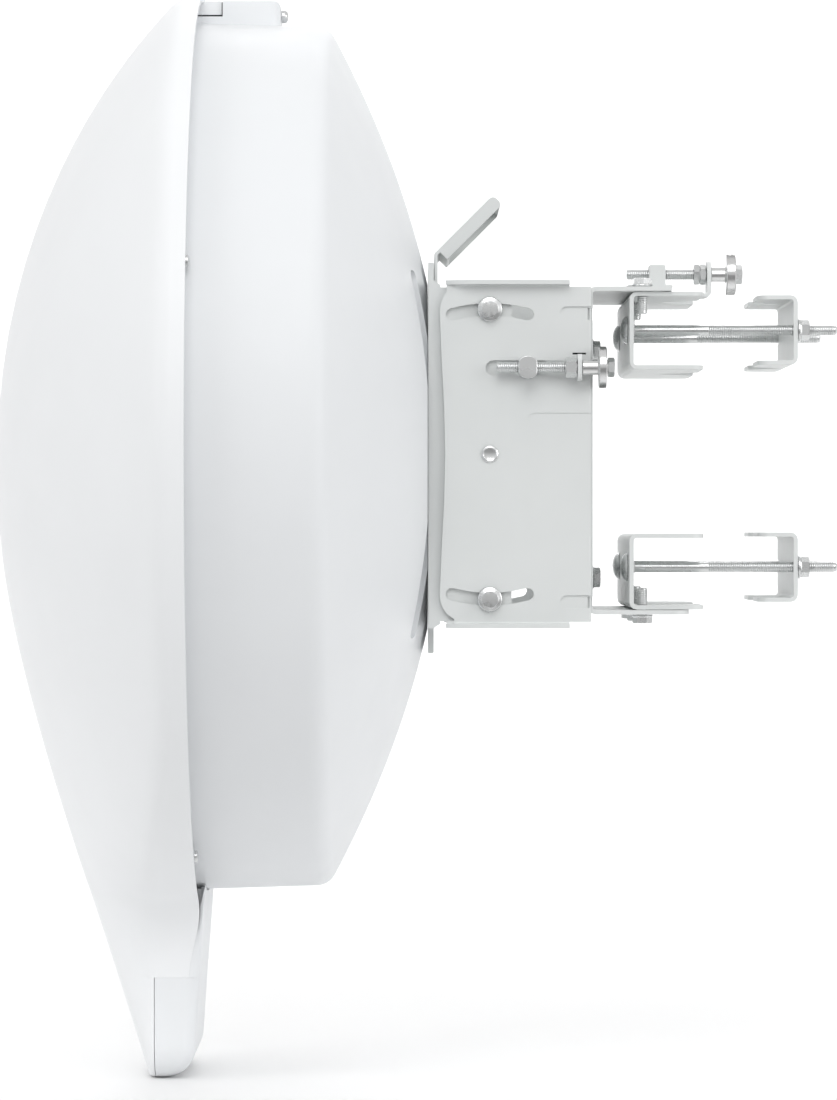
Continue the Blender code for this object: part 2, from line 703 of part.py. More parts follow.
def build_handle(body):
    """Pressed handle: an upright tab, then a shallow tray leaning back at 45 degrees."""
    front = PLATE_REAR + GAP
    rear = front + HANDLE_SHEET
    lean = math.sqrt(0.5)
    along = Vector((lean, lean))
    under = Vector((lean, -lean))
    start = Vector((front, HANDLE_BEND))
    end = start + along * HANDLE_LENGTH
    tray = start + along * 2.6
    outline = rounded([(front, HANDLE_FOOT, 0), (rear, HANDLE_FOOT, 0), (rear, HANDLE_BEND - 0.8, 0),
                       (*(tray + under * HANDLE_SHEET), 0), (*(tray + under * HANDLE_DEPTH), 0),
                       (*(end + under * HANDLE_DEPTH), 2.9), (*end, 2.9), (*start, 1.5)], 4)
    handle = prism(outline, "Y", -HANDLE_HALF, HANDLE_HALF, "carry_handle")
    shallow = under * HANDLE_SHEET
    deep = under * (HANDLE_DEPTH + 5)
    wall_start = tray + along * HANDLE_SHEET
    wall_end = end - along * HANDLE_SHEET
    hollow = [wall_start + shallow, wall_end + shallow, wall_end + deep, wall_start + deep]
    inside = HANDLE_HALF - HANDLE_SHEET
    cut(handle, prism([tuple(point) for point in hollow], "Y", -inside, inside))
    grip = start + along * 24.0
    opening = prism(stadium((0, -20), (0, 20), 8.5, 6), "Z", -12, 12)
    opening.matrix_world = (Matrix.Translation(place(0, grip.y, grip.x, "X"))
                            @ Matrix.Rotation(math.radians(-45), 4, "Y"))
    bpy.context.view_layer.update()
    cut(handle, opening)
    finish(handle, body, BRACKET_GREY)


# ---------------------------------------------------------------- fasteners
def flange_bolt(shank_length, across_flats=9.0, head=4.4, flange_radius=6.9):
    """Flange bolt along local Z: underside of the flange at 0, shank below it."""
    bolt = lathe([(-shank_length, 0), (-shank_length, THREAD), (0, THREAD), (0, flange_radius),
                  (0.8, flange_radius), (1.5, 5.4), (1.5, 0)], "Z", (0, 0), 16)
    join(bolt, prism(hexagon((0, 0), across_flats), "Z", 1.0, 1.5 + head))
    return bolt


def carriage_bolt():
    """Domed bolt along local X, underside of the head at 0, shank towards +X."""
    dome = [(0, 7.5), (-1.4, 6.7), (-2.8, 4.6), (-3.6, 0)]
    length = POLE_BOLT_END - (CLAMP_X - GAP)
    shank = [(length, 0), (length, THREAD), (0, THREAD)]
    return lathe(shank + dome, "X", (0, 0), 16)


def flange_nut():
    """Flange nut along local X, flange at 0."""
    nut = tube(6.3, "X", 0, 1.5, (0, 0), 16)
    join(nut, prism(hexagon((0, 0), 9.6), "X", 1.0, 6.2))
    return cut(nut, tube(BORE, "X", -1, 8, (0, 0), 16))


def build_pivot_bolts(body):
    """Shouldered pins that the mount plate turns on."""
    inner_face = FLANGE_Y - PLATE_SHEET
    profile = [(inner_face - 2.3, 0), (inner_face - 2.3, 6.0), (inner_face - GAP, 6.0),
               (inner_face - GAP, 3.7), (SIDE_Y + GAP, 3.7), (SIDE_Y + GAP, 4.5),
               (SIDE_Y + 1.0, 4.2), (SIDE_Y + 1.0, 0)]
    for name, side in (("pivot_pin_near", -1), ("pivot_pin_far", 1)):
        pin = lathe([(side * along, radius) for along, radius in profile],
                    "Y", (PIVOT_X, 0), 16, name)
        finish(pin, body, ZINC)


def build_lock_bolts(body):
    """Four bolts that clamp the mount plate's flanges to the bracket."""
    for side, label in ((-1, "near"), (1, "far")):
        places = [("elevation_lock_bolt_" + label + "_" + level,
                   (PIVOT_X, side * (SIDE_Y + GAP), sign * LOCK_RADIUS))
                  for level, sign in (("upper", 1), ("lower", -1))]
        turn = (math.radians(-90 * side), 0, 0)
        for bolt in copies(flange_bolt(11.5), places, turn):
            finish(bolt, body, ZINC)


# ---------------------------------------------------------------- elevation bracket
SLOT_HALF = 3.3
CORNER = 14.0                  # front corners of the bracket's sides
LIP_TIP = -150.4               # the lips' front ends
LIP_FRONT = -146.0             # where they join the sides
LIP_REAR = -84.6
LIP_TOP = 92.6
LIP_REACH = 6.0                # how far they stand out from the sides
TAB_X = -80.6                  # front face of the elevation screw's bearing tab
SLITS = ((71.5, 77.9), (-81.8, -75.8))
SLIT_X = (-74.8, -73.8)


def front_edge_x(z):
    """Front edge of the bracket's sides: slightly hollow in the middle."""
    return -152.35 + 1.55 * math.cos(math.pi * z / BRACKET_TOP)


def side_outline():
    """Side view of the elevation bracket: swept in at the top front, round at the bottom."""
    straight = BRACKET_TOP - CORNER
    count = 6
    edge = [(front_edge_x(z), z) for z in
            [straight - 2 * straight * step / count for step in range(count + 1)]]
    left = front_edge_x(straight)
    neck_x = LIP_TIP + 0.4
    rim = BRACKET_TOP + 0.4
    sweep = bend((neck_x, rim - 3.0), (left, straight + 6.0), (left, straight))
    bottom = arc((left + CORNER, -straight), CORNER, math.pi, 1.5 * math.pi, 6)
    return ([(SIDE_REAR_X, BRACKET_TOP), (LIP_FRONT + 1, BRACKET_TOP), (LIP_FRONT + 1, rim),
             (neck_x, rim)] + sweep[:-1] + edge + bottom[1:] + [(SIDE_REAR_X, -BRACKET_TOP)])


def add_lips(bracket, side):
    """Turn the side's top and bottom edges outwards, with tapered front ends."""
    outer, inner = side * SIDE_Y, side * (SIDE_Y - SHEET)
    tip = side * (SIDE_Y + LIP_REACH)
    under = LIP_TOP - SHEET
    profile = [(inner, -LIP_TOP, 3.5), (inner, LIP_TOP, 3.5), (tip, LIP_TOP, 0), (tip, under, 0),
               (outer, under, 1.2), (outer, -under, 1.2), (tip, -under, 0), (tip, -LIP_TOP, 0)]
    join(bracket, prism(rounded(profile), "X", LIP_FRONT, LIP_REAR))
    root = side * (SIDE_Y - 1.0)
    plan = [(LIP_TIP, root), (LIP_FRONT + 1, root), (LIP_FRONT + 1, tip), (LIP_TIP, outer)]
    for low, high in ((under, LIP_TOP), (-LIP_TOP, -under)):
        join(bracket, prism(plan, "Z", low, high))
        taper = [(LIP_TIP - 1, outer), (LIP_TIP - 1, tip + side), (LIP_FRONT + 8, tip + side),
                 (LIP_FRONT + 8, tip)]
        cut(bracket, prism(taper, "Z", low - 1, high + 1))


def build_elevation_bracket(body):
    """Channel that holds the dish's mount plate and its tilt adjuster."""
    left = -160.0
    inside = SIDE_Y - SHEET
    channel = [(left, -SIDE_Y, 0), (SIDE_REAR_X, -SIDE_Y, 0.8), (SIDE_REAR_X, -inside, 0),
               (BACK_X, -inside, 0), (BACK_X, inside, 0), (SIDE_REAR_X, inside, 0),
               (SIDE_REAR_X, SIDE_Y, 0.8), (left, SIDE_Y, 0), (left, inside, 0),
               (BACK_X - SHEET, inside, 1.5), (BACK_X - SHEET, -inside, 1.5), (left, -inside, 0)]
    bracket = prism(rounded(channel), "Z", -95, 95, "elevation_bracket")
    trim(bracket, prism(side_outline(), "Y", -90, 90))
    for side in (-1, 1):
        add_lips(bracket, side)

    # bearing tab for the adjusting screw, bent out of the near side
    tab_low, tab_high = ADJUSTER_Z - 7, ADJUSTER_Z + 7
    tab = rounded([(1 - SIDE_Y, tab_low, 0), (-SIDE_Y - 13, tab_low, 3.5),
                   (-SIDE_Y - 13, tab_high, 3.5), (1 - SIDE_Y, tab_high, 0)])
    join(bracket, prism(tab, "X", TAB_X, TAB_X + SHEET))
    cut(bracket, tube(BORE, "X", TAB_X - 5, TAB_X + 5, (ADJUSTER_Y, ADJUSTER_Z)))

    # tilt slots, pivot holes and the adjuster's slot
    slot_half_angle = math.radians(15.2)
    for middle in (math.pi / 2, -math.pi / 2):
        slot = arc_slot((PIVOT_X, 0), LOCK_RADIUS, SLOT_HALF, middle, slot_half_angle)
        cut(bracket, prism(slot, "Y", -90, 90))
    cut(bracket, tube(4.1, "Y", -90, 90, (PIVOT_X, 0), 24))
    guide = stadium((-125.3, ADJUSTER_Z), (-89.0, ADJUSTER_Z), 4.0, 6)
    cut(bracket, prism(guide, "Y", -90, -70))

    # pressed panels on the sides, and relief slits at their rear edges
    for side in (-1, 1):
        low, high = sorted((side * (SIDE_Y - 0.5), side * (SIDE_Y + 3)))
        panel = rounded([(-107, -43.5, 4), (-68, -43.5, 0), (-68, 22, 0), (-107, 22, 4)])
        cut(bracket, prism(panel, "Y", low, high))
    for slit_low, slit_high in SLITS:
        cut(bracket, box((SLIT_X[0], -90, slit_low), (SLIT_X[1], 90, slit_high)))
    # holes for the bolts that hold the azimuth bracket
    for y, z in bracket_bolt_places():
        cut(bracket, tube(BORE, "X", BACK_X - 8, BACK_X + 5, (y, z)))
    finish(bracket, body, BRACKET_GREY)


def bracket_bolt_places():
    return [(y, z) for z in (56.5, -66.0) for y in (-40.0, 40.0)]


# ---------------------------------------------------------------- azimuth bracket
def build_azimuth_bracket(body):
    """C-shaped bracket: its web is bolted on, its two plates turn on the pole clamp."""
    web = BACK_X + GAP
    upper_edge, lower_edge = -29.9, -20.3
    half = SIDE_Y - SHEET - GAP
    profile = rounded([(upper_edge, PLATE_TOP, 0), (web, PLATE_TOP, 4),
                       (web, PLATE_BOTTOM, 4), (lower_edge, PLATE_BOTTOM, 0),
                       (lower_edge, PLATE_BOTTOM + SHEET, 0),
                       (web + SHEET, PLATE_BOTTOM + SHEET, 1.7),
                       (web + SHEET, PLATE_TOP - SHEET, 1.7),
                       (upper_edge, PLATE_TOP - SHEET, 0)])
    bracket = prism(profile, "Y", -half, half, "azimuth_bracket")
    pole_notch = [(-29.0, -32), (lower_edge + 1, -42), (lower_edge + 1, 42), (-29.0, 32)]
    cut(bracket, prism(pole_notch, "Z", -95, 0))
    corners = rounded([(web - 5, -half, 0), (lower_edge + 0.1, -half, 9),
                       (lower_edge + 0.1, half, 9), (web - 5, half, 0)])
    trim(bracket, prism(corners, "Z", -95, 95))
    for slit_low, slit_high in SLITS:
        for notch_low, notch_high in ((-half - 1, 6 - half), (half - 6, half + 1)):
            cut(bracket, box((web - 1, notch_low, slit_low), (web + SHEET + 1, notch_high, slit_high)))

    pivot = (AZIMUTH_X, 0)
    half_angle = AZIMUTH_LIMIT + math.radians(0.5)
    cut(bracket, tube(BORE, "Z", -95, 95, pivot, 20))
    for middle in (math.pi / 2, -math.pi / 2):
        slot = arc_slot(pivot, AZIMUTH_BOLT_Y, SLOT_HALF, middle, half_angle, 6)
        cut(bracket, prism(slot, "Z", -95, 95))
    cut(bracket, prism(stadium((-36.4, -51.6), (-36.4, -49.2), 3.4, 6), "Z", 80, 95))
    for y, z in bracket_bolt_places():
        cut(bracket, tube(BORE, "X", web - 3, web + 8, (y, z)))
    finish(bracket, body, BRACKET_GREY)


def build_bracket_bolts(body):
    x = BACK_X + GAP + SHEET + GAP
    labels = ("near_upper", "far_upper", "near_lower", "far_lower")
    places = [("bracket_bolt_" + label, (x, y, z))
              for label, (y, z) in zip(labels, bracket_bolt_places())]
    bolt = flange_bolt(10.5, 9.4, 3.7, 6.6)
    for piece in copies(bolt, places, (0, math.radians(90), 0)):
        finish(piece, body, ZINC)


# ---------------------------------------------------------------- adjusters
NUT_X = -107.0                 # barrel nut on the elevation screw
HEX_ACROSS = 9.0               # hexagon ends of both screws
NUT_ACROSS = 9.6
SLEEVE_RADIUS = 4.1
WHEEL_RADIUS = 11.1


def build_screw_set(name, body, centre, tip, collar_front, tab_x, wheel_span, end):
    """Adjusting screw along X, with its collar before the bearing tab and its wheel behind."""
    wheel_front, wheel_rear = wheel_span
    sleeve_start = tab_x + SHEET + GAP
    head = wheel_rear + GAP
    bore = THREAD + GAP
    screw = lathe([(tip, 0), (tip, THREAD - 0.6), (tip + 0.6, THREAD), (head + 0.7, THREAD),
                   (head + 0.7, 0)], "X", centre, 16, name + "_screw")
    join(screw, prism(hexagon(centre, HEX_ACROSS), "X", head, end))
    finish(screw, body, ZINC)

    wheel = lathe([(sleeve_start, bore), (sleeve_start, SLEEVE_RADIUS), (wheel_front, SLEEVE_RADIUS),
                   (wheel_front, WHEEL_RADIUS), (wheel_rear, WHEEL_RADIUS), (wheel_rear, bore)],
                  "X", centre, 24, name + "_wheel")
    finish(wheel, body, BRIGHT_STEEL)

    collar = prism(hexagon(centre, NUT_ACROSS), "X", collar_front, tab_x - GAP, name + "_collar")
    cut(collar, tube(bore, "X", collar_front - 3, tab_x + 5, centre, 16))
    finish(collar, body, ZINC)


def build_elevation_adjuster(screw_body, nut_body):
    """Screw with a knurled wheel; its barrel nut moves the mount plate's ear."""
    centre = (ADJUSTER_Y, ADJUSTER_Z)
    build_screw_set("elevation", screw_body, centre, tip=-123.6, collar_front=-86.9, tab_x=TAB_X,
                    wheel_span=(-69.4, -65.1), end=-60.9)
    radius, flat = 6.1, 4.9
    outer = -SIDE_Y - 0.6
    reach = math.acos(flat / radius)
    round_sides = (arc((NUT_X, ADJUSTER_Z), radius, reach, math.pi - reach, 6)
                   + arc((NUT_X, ADJUSTER_Z), radius, math.pi + reach, math.tau - reach, 6))
    nut = prism(round_sides, "Y", ADJUSTER_Y - 6.2, outer, "barrel_nut")
    join(nut, tube(3.6, "Y", outer - 1, -71.5, (NUT_X, ADJUSTER_Z), 20))
    cut(nut, tube(BORE, "X", NUT_X - 9, NUT_X + 9, centre, 20))
    finish(nut, nut_body, ZINC)


BLOCK_X = -36.4                # nut block on the azimuth screw
BLOCK_FRONT = -41.0
BLOCK_REAR = -32.1
BLOCK_HALF = 6.0


def build_azimuth_adjuster(screw_body, nut_body):
    """Screw borne by the pole clamp; its nut block turns the azimuth bracket."""
    centre = (AZIMUTH_SCREW_Y, AZIMUTH_SCREW_Z)
    build_screw_set("azimuth", screw_body, centre, tip=-52.9, collar_front=-16.8, tab_x=SCREW_TAB_X,
                    wheel_span=(0.5, 5.6), end=9.4)
    low, top = PLATE_TOP + GAP, 102.4
    foot_rear, foot_top = BLOCK_REAR + 3.8, low + 1.8
    side = rounded([(BLOCK_FRONT, low, 0), (foot_rear, low, 0), (foot_rear, foot_top, 0.8),
                    (BLOCK_REAR, foot_top, 0), (BLOCK_REAR, top, 1.0), (BLOCK_FRONT, top, 1.0)], 3)
    block = prism(side, "Y", AZIMUTH_SCREW_Y - BLOCK_HALF, AZIMUTH_SCREW_Y + BLOCK_HALF,
                  "azimuth_nut_block")
    pin_low = PLATE_TOP - SHEET + GAP
    join(block, tube(2.6, "Z", pin_low, low + 1, (BLOCK_X, AZIMUTH_SCREW_Y), 16))
    cut(block, tube(BORE, "X", BLOCK_FRONT - 4, BLOCK_REAR + 7, centre, 20))
    finish(block, nut_body, BRACKET_GREY)


# ---------------------------------------------------------------- pole clamp
def vee(apex, mouth):
    """Plan of a right-angled V notch that opens from apex towards mouth."""
    half = abs(mouth - apex)
    return [(apex, 0), (mouth, -half), (mouth, half)]


def clamp_channel(wall, tip, low, high, half, name):
    """Channel with a wall at x = wall and two flanges that reach to x = tip."""
    inner = wall + math.copysign(SHEET, tip - wall)
    profile = [(tip, low, 0), (wall, low, 3.8), (wall, high, 3.8), (tip, high, 0),
               (tip, high - SHEET, 0), (inner, high - SHEET, 1.5),
               (inner, low + SHEET, 1.5), (tip, low + SHEET, 0)]
    clamp = prism(rounded(profile), "Y", -half, half, name)
    outside = wall - math.copysign(5, tip - wall)
    plan = rounded([(outside, -half - 1, 0), (tip, -half, 7), (tip, half, 7),
                    (outside, half + 1, 0)])
    return trim(clamp, prism(plan, "Z", low - 5, high + 5))


def build_inner_clamps(body):
    """Fixed halves of the pole clamp."""
    spans = {"upper_inner_clamp": (45.4, PLATE_TOP - SHEET - GAP),
             "lower_inner_clamp": (PLATE_BOTTOM + SHEET + GAP, -42.3)}
    for (name, (low, high)), bolt_z in zip(spans.items(), POLE_BOLT_Z):
        clamp = clamp_channel(CLAMP_X, CLAMP_TIP_X, low, high, CLAMP_HALF, name)
        cut(clamp, prism(vee(-NOTCH_APEX, 0), "Z", low - 5, high + 5))
        for side in (-1, 1):
            cut(clamp, tube(BORE, "X", CLAMP_X - 5, CLAMP_X + 6, (side * POLE_BOLT_Y, bolt_z)))
        if name.startswith("upper"):
            screw_tab(clamp, high)
            hole_low, hole_high = high - 5, high + 5
        else:
            hole_low, hole_high = low - 5, low + 5
        for y in (-AZIMUTH_BOLT_Y, 0, AZIMUTH_BOLT_Y):
            cut(clamp, tube(BORE, "Z", hole_low, hole_high, (AZIMUTH_X, y)))
        finish(clamp, body, BRACKET_GREY)


def screw_tab(clamp, top):
    """Tab bent up from the near prong, with the azimuth screw's bearing hole."""
    front, rear = SCREW_TAB_X, SCREW_TAB_X + SHEET
    tab_top = 104.5
    low_y, high_y = AZIMUTH_SCREW_Y - 8.5, AZIMUTH_SCREW_Y + 8.5
    bent = rounded([(-20, top - SHEET, 0), (rear, top - SHEET, 3.5), (rear, tab_top, 0),
                    (front, tab_top, 0), (front, top, 1.2), (-20, top, 0)])
    tab = prism(bent, "Y", low_y, high_y)
    crown = rounded([(low_y - 1, 70, 0), (high_y + 1, 70, 0), (high_y, tab_top - 0.1, 7.5),
                     (low_y, tab_top - 0.1, 7.5)])
    trim(tab, prism(crown, "X", -30, 0))
    join(clamp, tab)
    cut(clamp, tube(BORE, "X", front - 5, rear + 5, (AZIMUTH_SCREW_Y, AZIMUTH_SCREW_Z)))


def build_pole_bolts(body):
    labels = ("near_upper", "far_upper", "near_lower", "far_lower")
    spots = [(y, z) for z in POLE_BOLT_Z for y in (-POLE_BOLT_Y, POLE_BOLT_Y)]
    places = [("carriage_bolt_" + label, (CLAMP_X - GAP, y, z))
              for label, (y, z) in zip(labels, spots)]
    for piece in copies(carriage_bolt(), places):
        finish(piece, body, ZINC)


def build_azimuth_bolts(body):
    """Pivot and lock bolts: heads outside the azimuth bracket's plates."""
    spots = (("azimuth_lock_bolt_near", -AZIMUTH_BOLT_Y), ("azimuth_pivot_bolt", 0),
             ("azimuth_lock_bolt_far", AZIMUTH_BOLT_Y))
    levels = (("_upper", PLATE_TOP + GAP, 0), ("_lower", PLATE_BOTTOM - GAP, math.pi))
    for suffix, z, turn in levels:
        places = [(name + suffix, (AZIMUTH_X, y, z)) for name, y in spots]
        bolt = flange_bolt(14.5, 9.2, 3.0, 5.6)
        for piece in copies(bolt, places, (turn, 0, 0)):
            finish(piece, body, ZINC)


def build_jaw(body, level, bolt_z):
    """Sliding half of one pole clamp with its two nuts."""
    low, high = bolt_z - 18.7, bolt_z + 18.7
    clamp = clamp_channel(JAW_X, JAW_TIP_X, low, high, JAW_HALF, level + "_outer_clamp")
    cut(clamp, prism(vee(NOTCH_APEX, 5), "Z", low - 5, high + 5),
        tube(BORE, "X", JAW_X - 6, JAW_X + 5, (-POLE_BOLT_Y, bolt_z)),
        prism(stadium((POLE_BOLT_Y, bolt_z), (POLE_BOLT_Y + 12, bolt_z), BORE, 8),
              "X", JAW_X - 6, JAW_X + 5))
    finish(clamp, body, BRACKET_GREY)
    places = [("flange_nut_near_" + level, (JAW_X + GAP, -POLE_BOLT_Y, bolt_z)),
              ("flange_nut_far_" + level, (JAW_X + GAP, POLE_BOLT_Y, bolt_z))]
    for piece in copies(flange_nut(), places):
        finish(piece, body, ZINC)


# ---------------------------------------------------------------- assembly
def clear_scene():
    for obj in list(bpy.data.objects):
        bpy.data.objects.remove(obj)


def build():
    clear_scene()
    pole_clamp = body_empty("pole_clamp", (0, 0, 0))
    upper_jaw = body_empty("upper_jaw", (JAW_X, 0, POLE_BOLT_Z[0]), pole_clamp)
    lower_jaw = body_empty("lower_jaw", (JAW_X, 0, POLE_BOLT_Z[1]), pole_clamp)
    azimuth_knob = body_empty("azimuth_knob", (0, AZIMUTH_SCREW_Y, AZIMUTH_SCREW_Z), pole_clamp)
    azimuth_nut = body_empty("azimuth_nut", (BLOCK_X, AZIMUTH_SCREW_Y, AZIMUTH_SCREW_Z), pole_clamp)
    azimuth_frame = body_empty("azimuth_frame", (AZIMUTH_X, 0, 0), pole_clamp)
    elevation_knob = body_empty("elevation_knob", (-67, ADJUSTER_Y, ADJUSTER_Z), azimuth_frame)
    elevation_nut = body_empty("elevation_nut", (NUT_X, ADJUSTER_Y, ADJUSTER_Z), azimuth_frame)
    dish = body_empty("dish", (PIVOT_X, 0, 0), azimuth_frame)
    tail_door = body_empty("tail_door", (-295, 0, COVER_TOP), dish)
    latch_knob = body_empty("latch_knob", (LATCH_REAR_X, 0, LATCH_SCREW_Z), dish)

    build_radome(dish)
    build_rear_housing(dish)
    build_seal(dish)
    build_reflector(dish)
    build_tail_housing(dish)
    build_port_cover(tail_door)
    build_latch(dish, latch_knob)
    build_radio(dish)
    build_mount_plate(dish)
    build_handle(dish)
    build_pivot_bolts(dish)
    build_lock_bolts(dish)
    build_elevation_bracket(azimuth_frame)
    build_azimuth_bracket(azimuth_frame)
    build_bracket_bolts(azimuth_frame)
    build_elevation_adjuster(elevation_knob, elevation_nut)
    build_azimuth_adjuster(azimuth_knob, azimuth_nut)
    build_inner_clamps(pole_clamp)
    build_pole_bolts(pole_clamp)
    build_azimuth_bolts(pole_clamp)
    build_jaw(upper_jaw, "upper", POLE_BOLT_Z[0])
    build_jaw(lower_jaw, "lower", POLE_BOLT_Z[1])


build()
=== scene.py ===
import json
import math

import bmesh
import bpy
from mathutils import Matrix, Vector

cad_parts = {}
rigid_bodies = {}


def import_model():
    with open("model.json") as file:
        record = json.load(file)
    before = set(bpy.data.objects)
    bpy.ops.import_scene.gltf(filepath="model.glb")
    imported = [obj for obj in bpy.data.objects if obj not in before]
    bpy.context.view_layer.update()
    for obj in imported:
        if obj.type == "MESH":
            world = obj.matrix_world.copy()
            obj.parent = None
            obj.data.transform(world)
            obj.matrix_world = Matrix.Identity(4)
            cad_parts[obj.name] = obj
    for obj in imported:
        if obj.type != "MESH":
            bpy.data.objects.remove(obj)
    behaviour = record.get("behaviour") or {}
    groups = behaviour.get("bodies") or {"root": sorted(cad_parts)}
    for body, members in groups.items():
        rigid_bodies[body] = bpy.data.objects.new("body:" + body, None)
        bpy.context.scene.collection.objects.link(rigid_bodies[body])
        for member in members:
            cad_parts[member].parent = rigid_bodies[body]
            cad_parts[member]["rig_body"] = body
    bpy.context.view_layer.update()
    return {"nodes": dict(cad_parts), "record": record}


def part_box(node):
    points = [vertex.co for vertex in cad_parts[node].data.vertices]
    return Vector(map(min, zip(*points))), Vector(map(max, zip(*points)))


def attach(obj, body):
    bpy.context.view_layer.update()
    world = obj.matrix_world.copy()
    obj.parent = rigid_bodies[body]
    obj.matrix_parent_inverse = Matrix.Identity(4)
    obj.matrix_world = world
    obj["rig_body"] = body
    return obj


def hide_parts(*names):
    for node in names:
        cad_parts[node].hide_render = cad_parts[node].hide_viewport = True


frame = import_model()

MM = 0.001
SLOT_OF = {entry["node"]: entry["material_slot"] for entry in frame["record"]["subparts"]}


# ---------------------------------------------------------------- places from the frame
def low(node):
    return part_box(node)[0] / MM


def high(node):
    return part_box(node)[1] / MM


def middle(node):
    return (low(node) + high(node)) / 2


# ---------------------------------------------------------------- driving sizes
GAP = 0.3                                      # gap between neighbouring pieces
RIM_RADIUS = high("radome_shell").y
APEX_X = low("radome_shell").x
FOOT_Z = low("radome_shell").z
RIM_X = low("tail_housing").x - GAP            # where drum, latch and tail meet the radome
RIM_REAR_X = -282.3                            # rear edge of the radome's rim
RIM_BOW = 1.0                                  # how much further back it lies at the sides
SEAM = 0.02                                    # shown gap between moulded shells
NOTCH_Z = 239.7                                # floor of the latch's notch for the radome's tab
NOTCH_X = -271.8
LATCH_TOP = high("latch_housing").z
TAB_ROOT_Z = 247.5                             # where the locating tab leaves the radome
TAB_HALF = 20.0
SCREW_HOLE = 2.1                               # clearance of the latch screw
WALL = 2.8
TAIL_HALF = 55.0
FOOT_CORNER = 20.0
FOOT_ROUND = 22.0
COVER_TOP = high("port_cover").z + GAP
COVER_FRONT = low("port_cover").x
DRUM_RADIUS = 237.0
DRUM_REAR_RADIUS = 235.0
DOME_X = -149.7
DOME_SPAN = 860.0
DOME_EDGE = 229.0                              # where the dome rounds into the drum
FLANGE_RADIUS = 247.0
BOSS_X = high("rear_housing").x
PITCH = 1.0                                    # M6 thread
THREAD = 2.8                                   # radius over the thread
THREAD_DEPTH = 0.28


# ---------------------------------------------------------------- outlines and solids
def arc(centre, radius, start, end, steps):
    points = []
    for step in range(steps + 1):
        angle = start + (end - start) * step / steps
        points.append((centre[0] + radius * math.cos(angle), centre[1] + radius * math.sin(angle)))
    return points


def circle(centre, radius, steps):
    return arc(centre, radius, 0, math.tau * (steps - 1) / steps, steps - 1)


def rounded(corners, steps=5):
    """Closed outline from (u, v, radius) corners."""
    outline = []
    for index, (u, v, radius) in enumerate(corners):
        corner = Vector((u, v))
        if radius == 0:
            outline.append(tuple(corner))
            continue
        before = (Vector(corners[index - 1][:2]) - corner).normalized()
        after = (Vector(corners[(index + 1) % len(corners)][:2]) - corner).normalized()
        half = before.angle(after) / 2
        centre = corner + (before + after).normalized() * radius / math.sin(half)
        start = corner + before * radius / math.tan(half) - centre
        end = corner + after * radius / math.tan(half) - centre
        turn = math.atan2(start.x * end.y - start.y * end.x, start.dot(end))
        for step in range(steps + 1):
            outline.append(tuple(centre + Matrix.Rotation(turn * step / steps, 2) @ start))
    return outline


def bend(start, corner, end, steps):
    """Quadratic curve from start to end that aims at the corner."""
    points = []
    for step in range(steps + 1):
        t = step / steps
        points.append(tuple((1 - t) ** 2 * a + 2 * t * (1 - t) * b + t * t * c
                            for a, b, c in zip(start, corner, end)))
    return points


def place(u, v, along, axis):
    if axis == "X":
        return Vector((along, u, v)) * MM
    if axis == "Y":
        return Vector((u, along, v)) * MM
    return Vector((u, v, along)) * MM


def make_object(name, bm, smooth=35):
    bmesh.ops.recalc_face_normals(bm, faces=bm.faces)
    mesh = bpy.data.meshes.new(name)
    bm.to_mesh(mesh)
    bm.free()
    obj = bpy.data.objects.new(name, mesh)
    bpy.context.scene.collection.objects.link(obj)
    smooth_by_angle(obj, smooth)
    return obj


def smooth_by_angle(obj, degrees):
    obj.data.shade_smooth()
    obj.data.set_sharp_from_angle(angle=math.radians(degrees))


def prism(outline, axis, start, end, name="tool"):
    bm = bmesh.new()
    lower = [bm.verts.new(place(u, v, start, axis)) for u, v in outline]
    upper = [bm.verts.new(place(u, v, end, axis)) for u, v in outline]
    bm.faces.new(lower)
    bm.faces.new(upper)
    for index in range(len(outline)):
        after = (index + 1) % len(outline)
        bm.faces.new((lower[index], lower[after], upper[after], upper[index]))
    return make_object(name, bm)


def tube(radius, axis, start, end, centre=(0, 0), steps=48, name="tool"):
    return prism(circle(centre, radius, steps), axis, start, end, name)


def lathe(profile, axis="Z", centre=(0, 0), steps=48, name="tool", knurled=(), depth=0.0):
    """Turned solid from (along, radius) points; knurled rings get a diamond pattern."""
    bm = bmesh.new()
    rings = []
    for index, (along, radius) in enumerate(profile):
        if radius == 0:
            rings.append([bm.verts.new(place(*centre, along, axis))])
            continue
        ring = circle((0, 0), 1.0, steps)
        grooved = index in knurled
        points = []
        for number, (u, v) in enumerate(ring):
            reach = radius - depth * ((number + index) % 2) if grooved else radius
            points.append(bm.verts.new(place(centre[0] + u * reach, centre[1] + v * reach,
                                             along, axis)))
        rings.append(points)
    pairs = list(zip(rings, rings[1:]))
    if profile[0][1] > 0:
        pairs.append((rings[-1], rings[0]))
    for ring, following in pairs:
        for index in range(steps):
            after = (index + 1) % steps
            corners = [ring[index % len(ring)], following[index % len(following)],
                       following[after % len(following)], ring[after % len(ring)]]
            bm.faces.new(list(dict.fromkeys(corners)))
    return make_object(name, bm)


def apply_modifiers(obj):
    bpy.context.view_layer.update()
    mesh = bpy.data.meshes.new_from_object(obj.evaluated_get(bpy.context.evaluated_depsgraph_get()))
    obj.modifiers.clear()
    obj.data = mesh


def combine(obj, operation, tools):
    for tool in tools:
        modifier = obj.modifiers.new("boolean", "BOOLEAN")
        modifier.operation = operation
        modifier.solver = "EXACT"
        modifier.object = tool
        apply_modifiers(obj)
        bpy.data.objects.remove(tool)
    smooth_by_angle(obj, 35)
    return obj


def cut(obj, *tools):
    return combine(obj, "DIFFERENCE", tools)


def join(obj, *tools):
    return combine(obj, "UNION", tools)


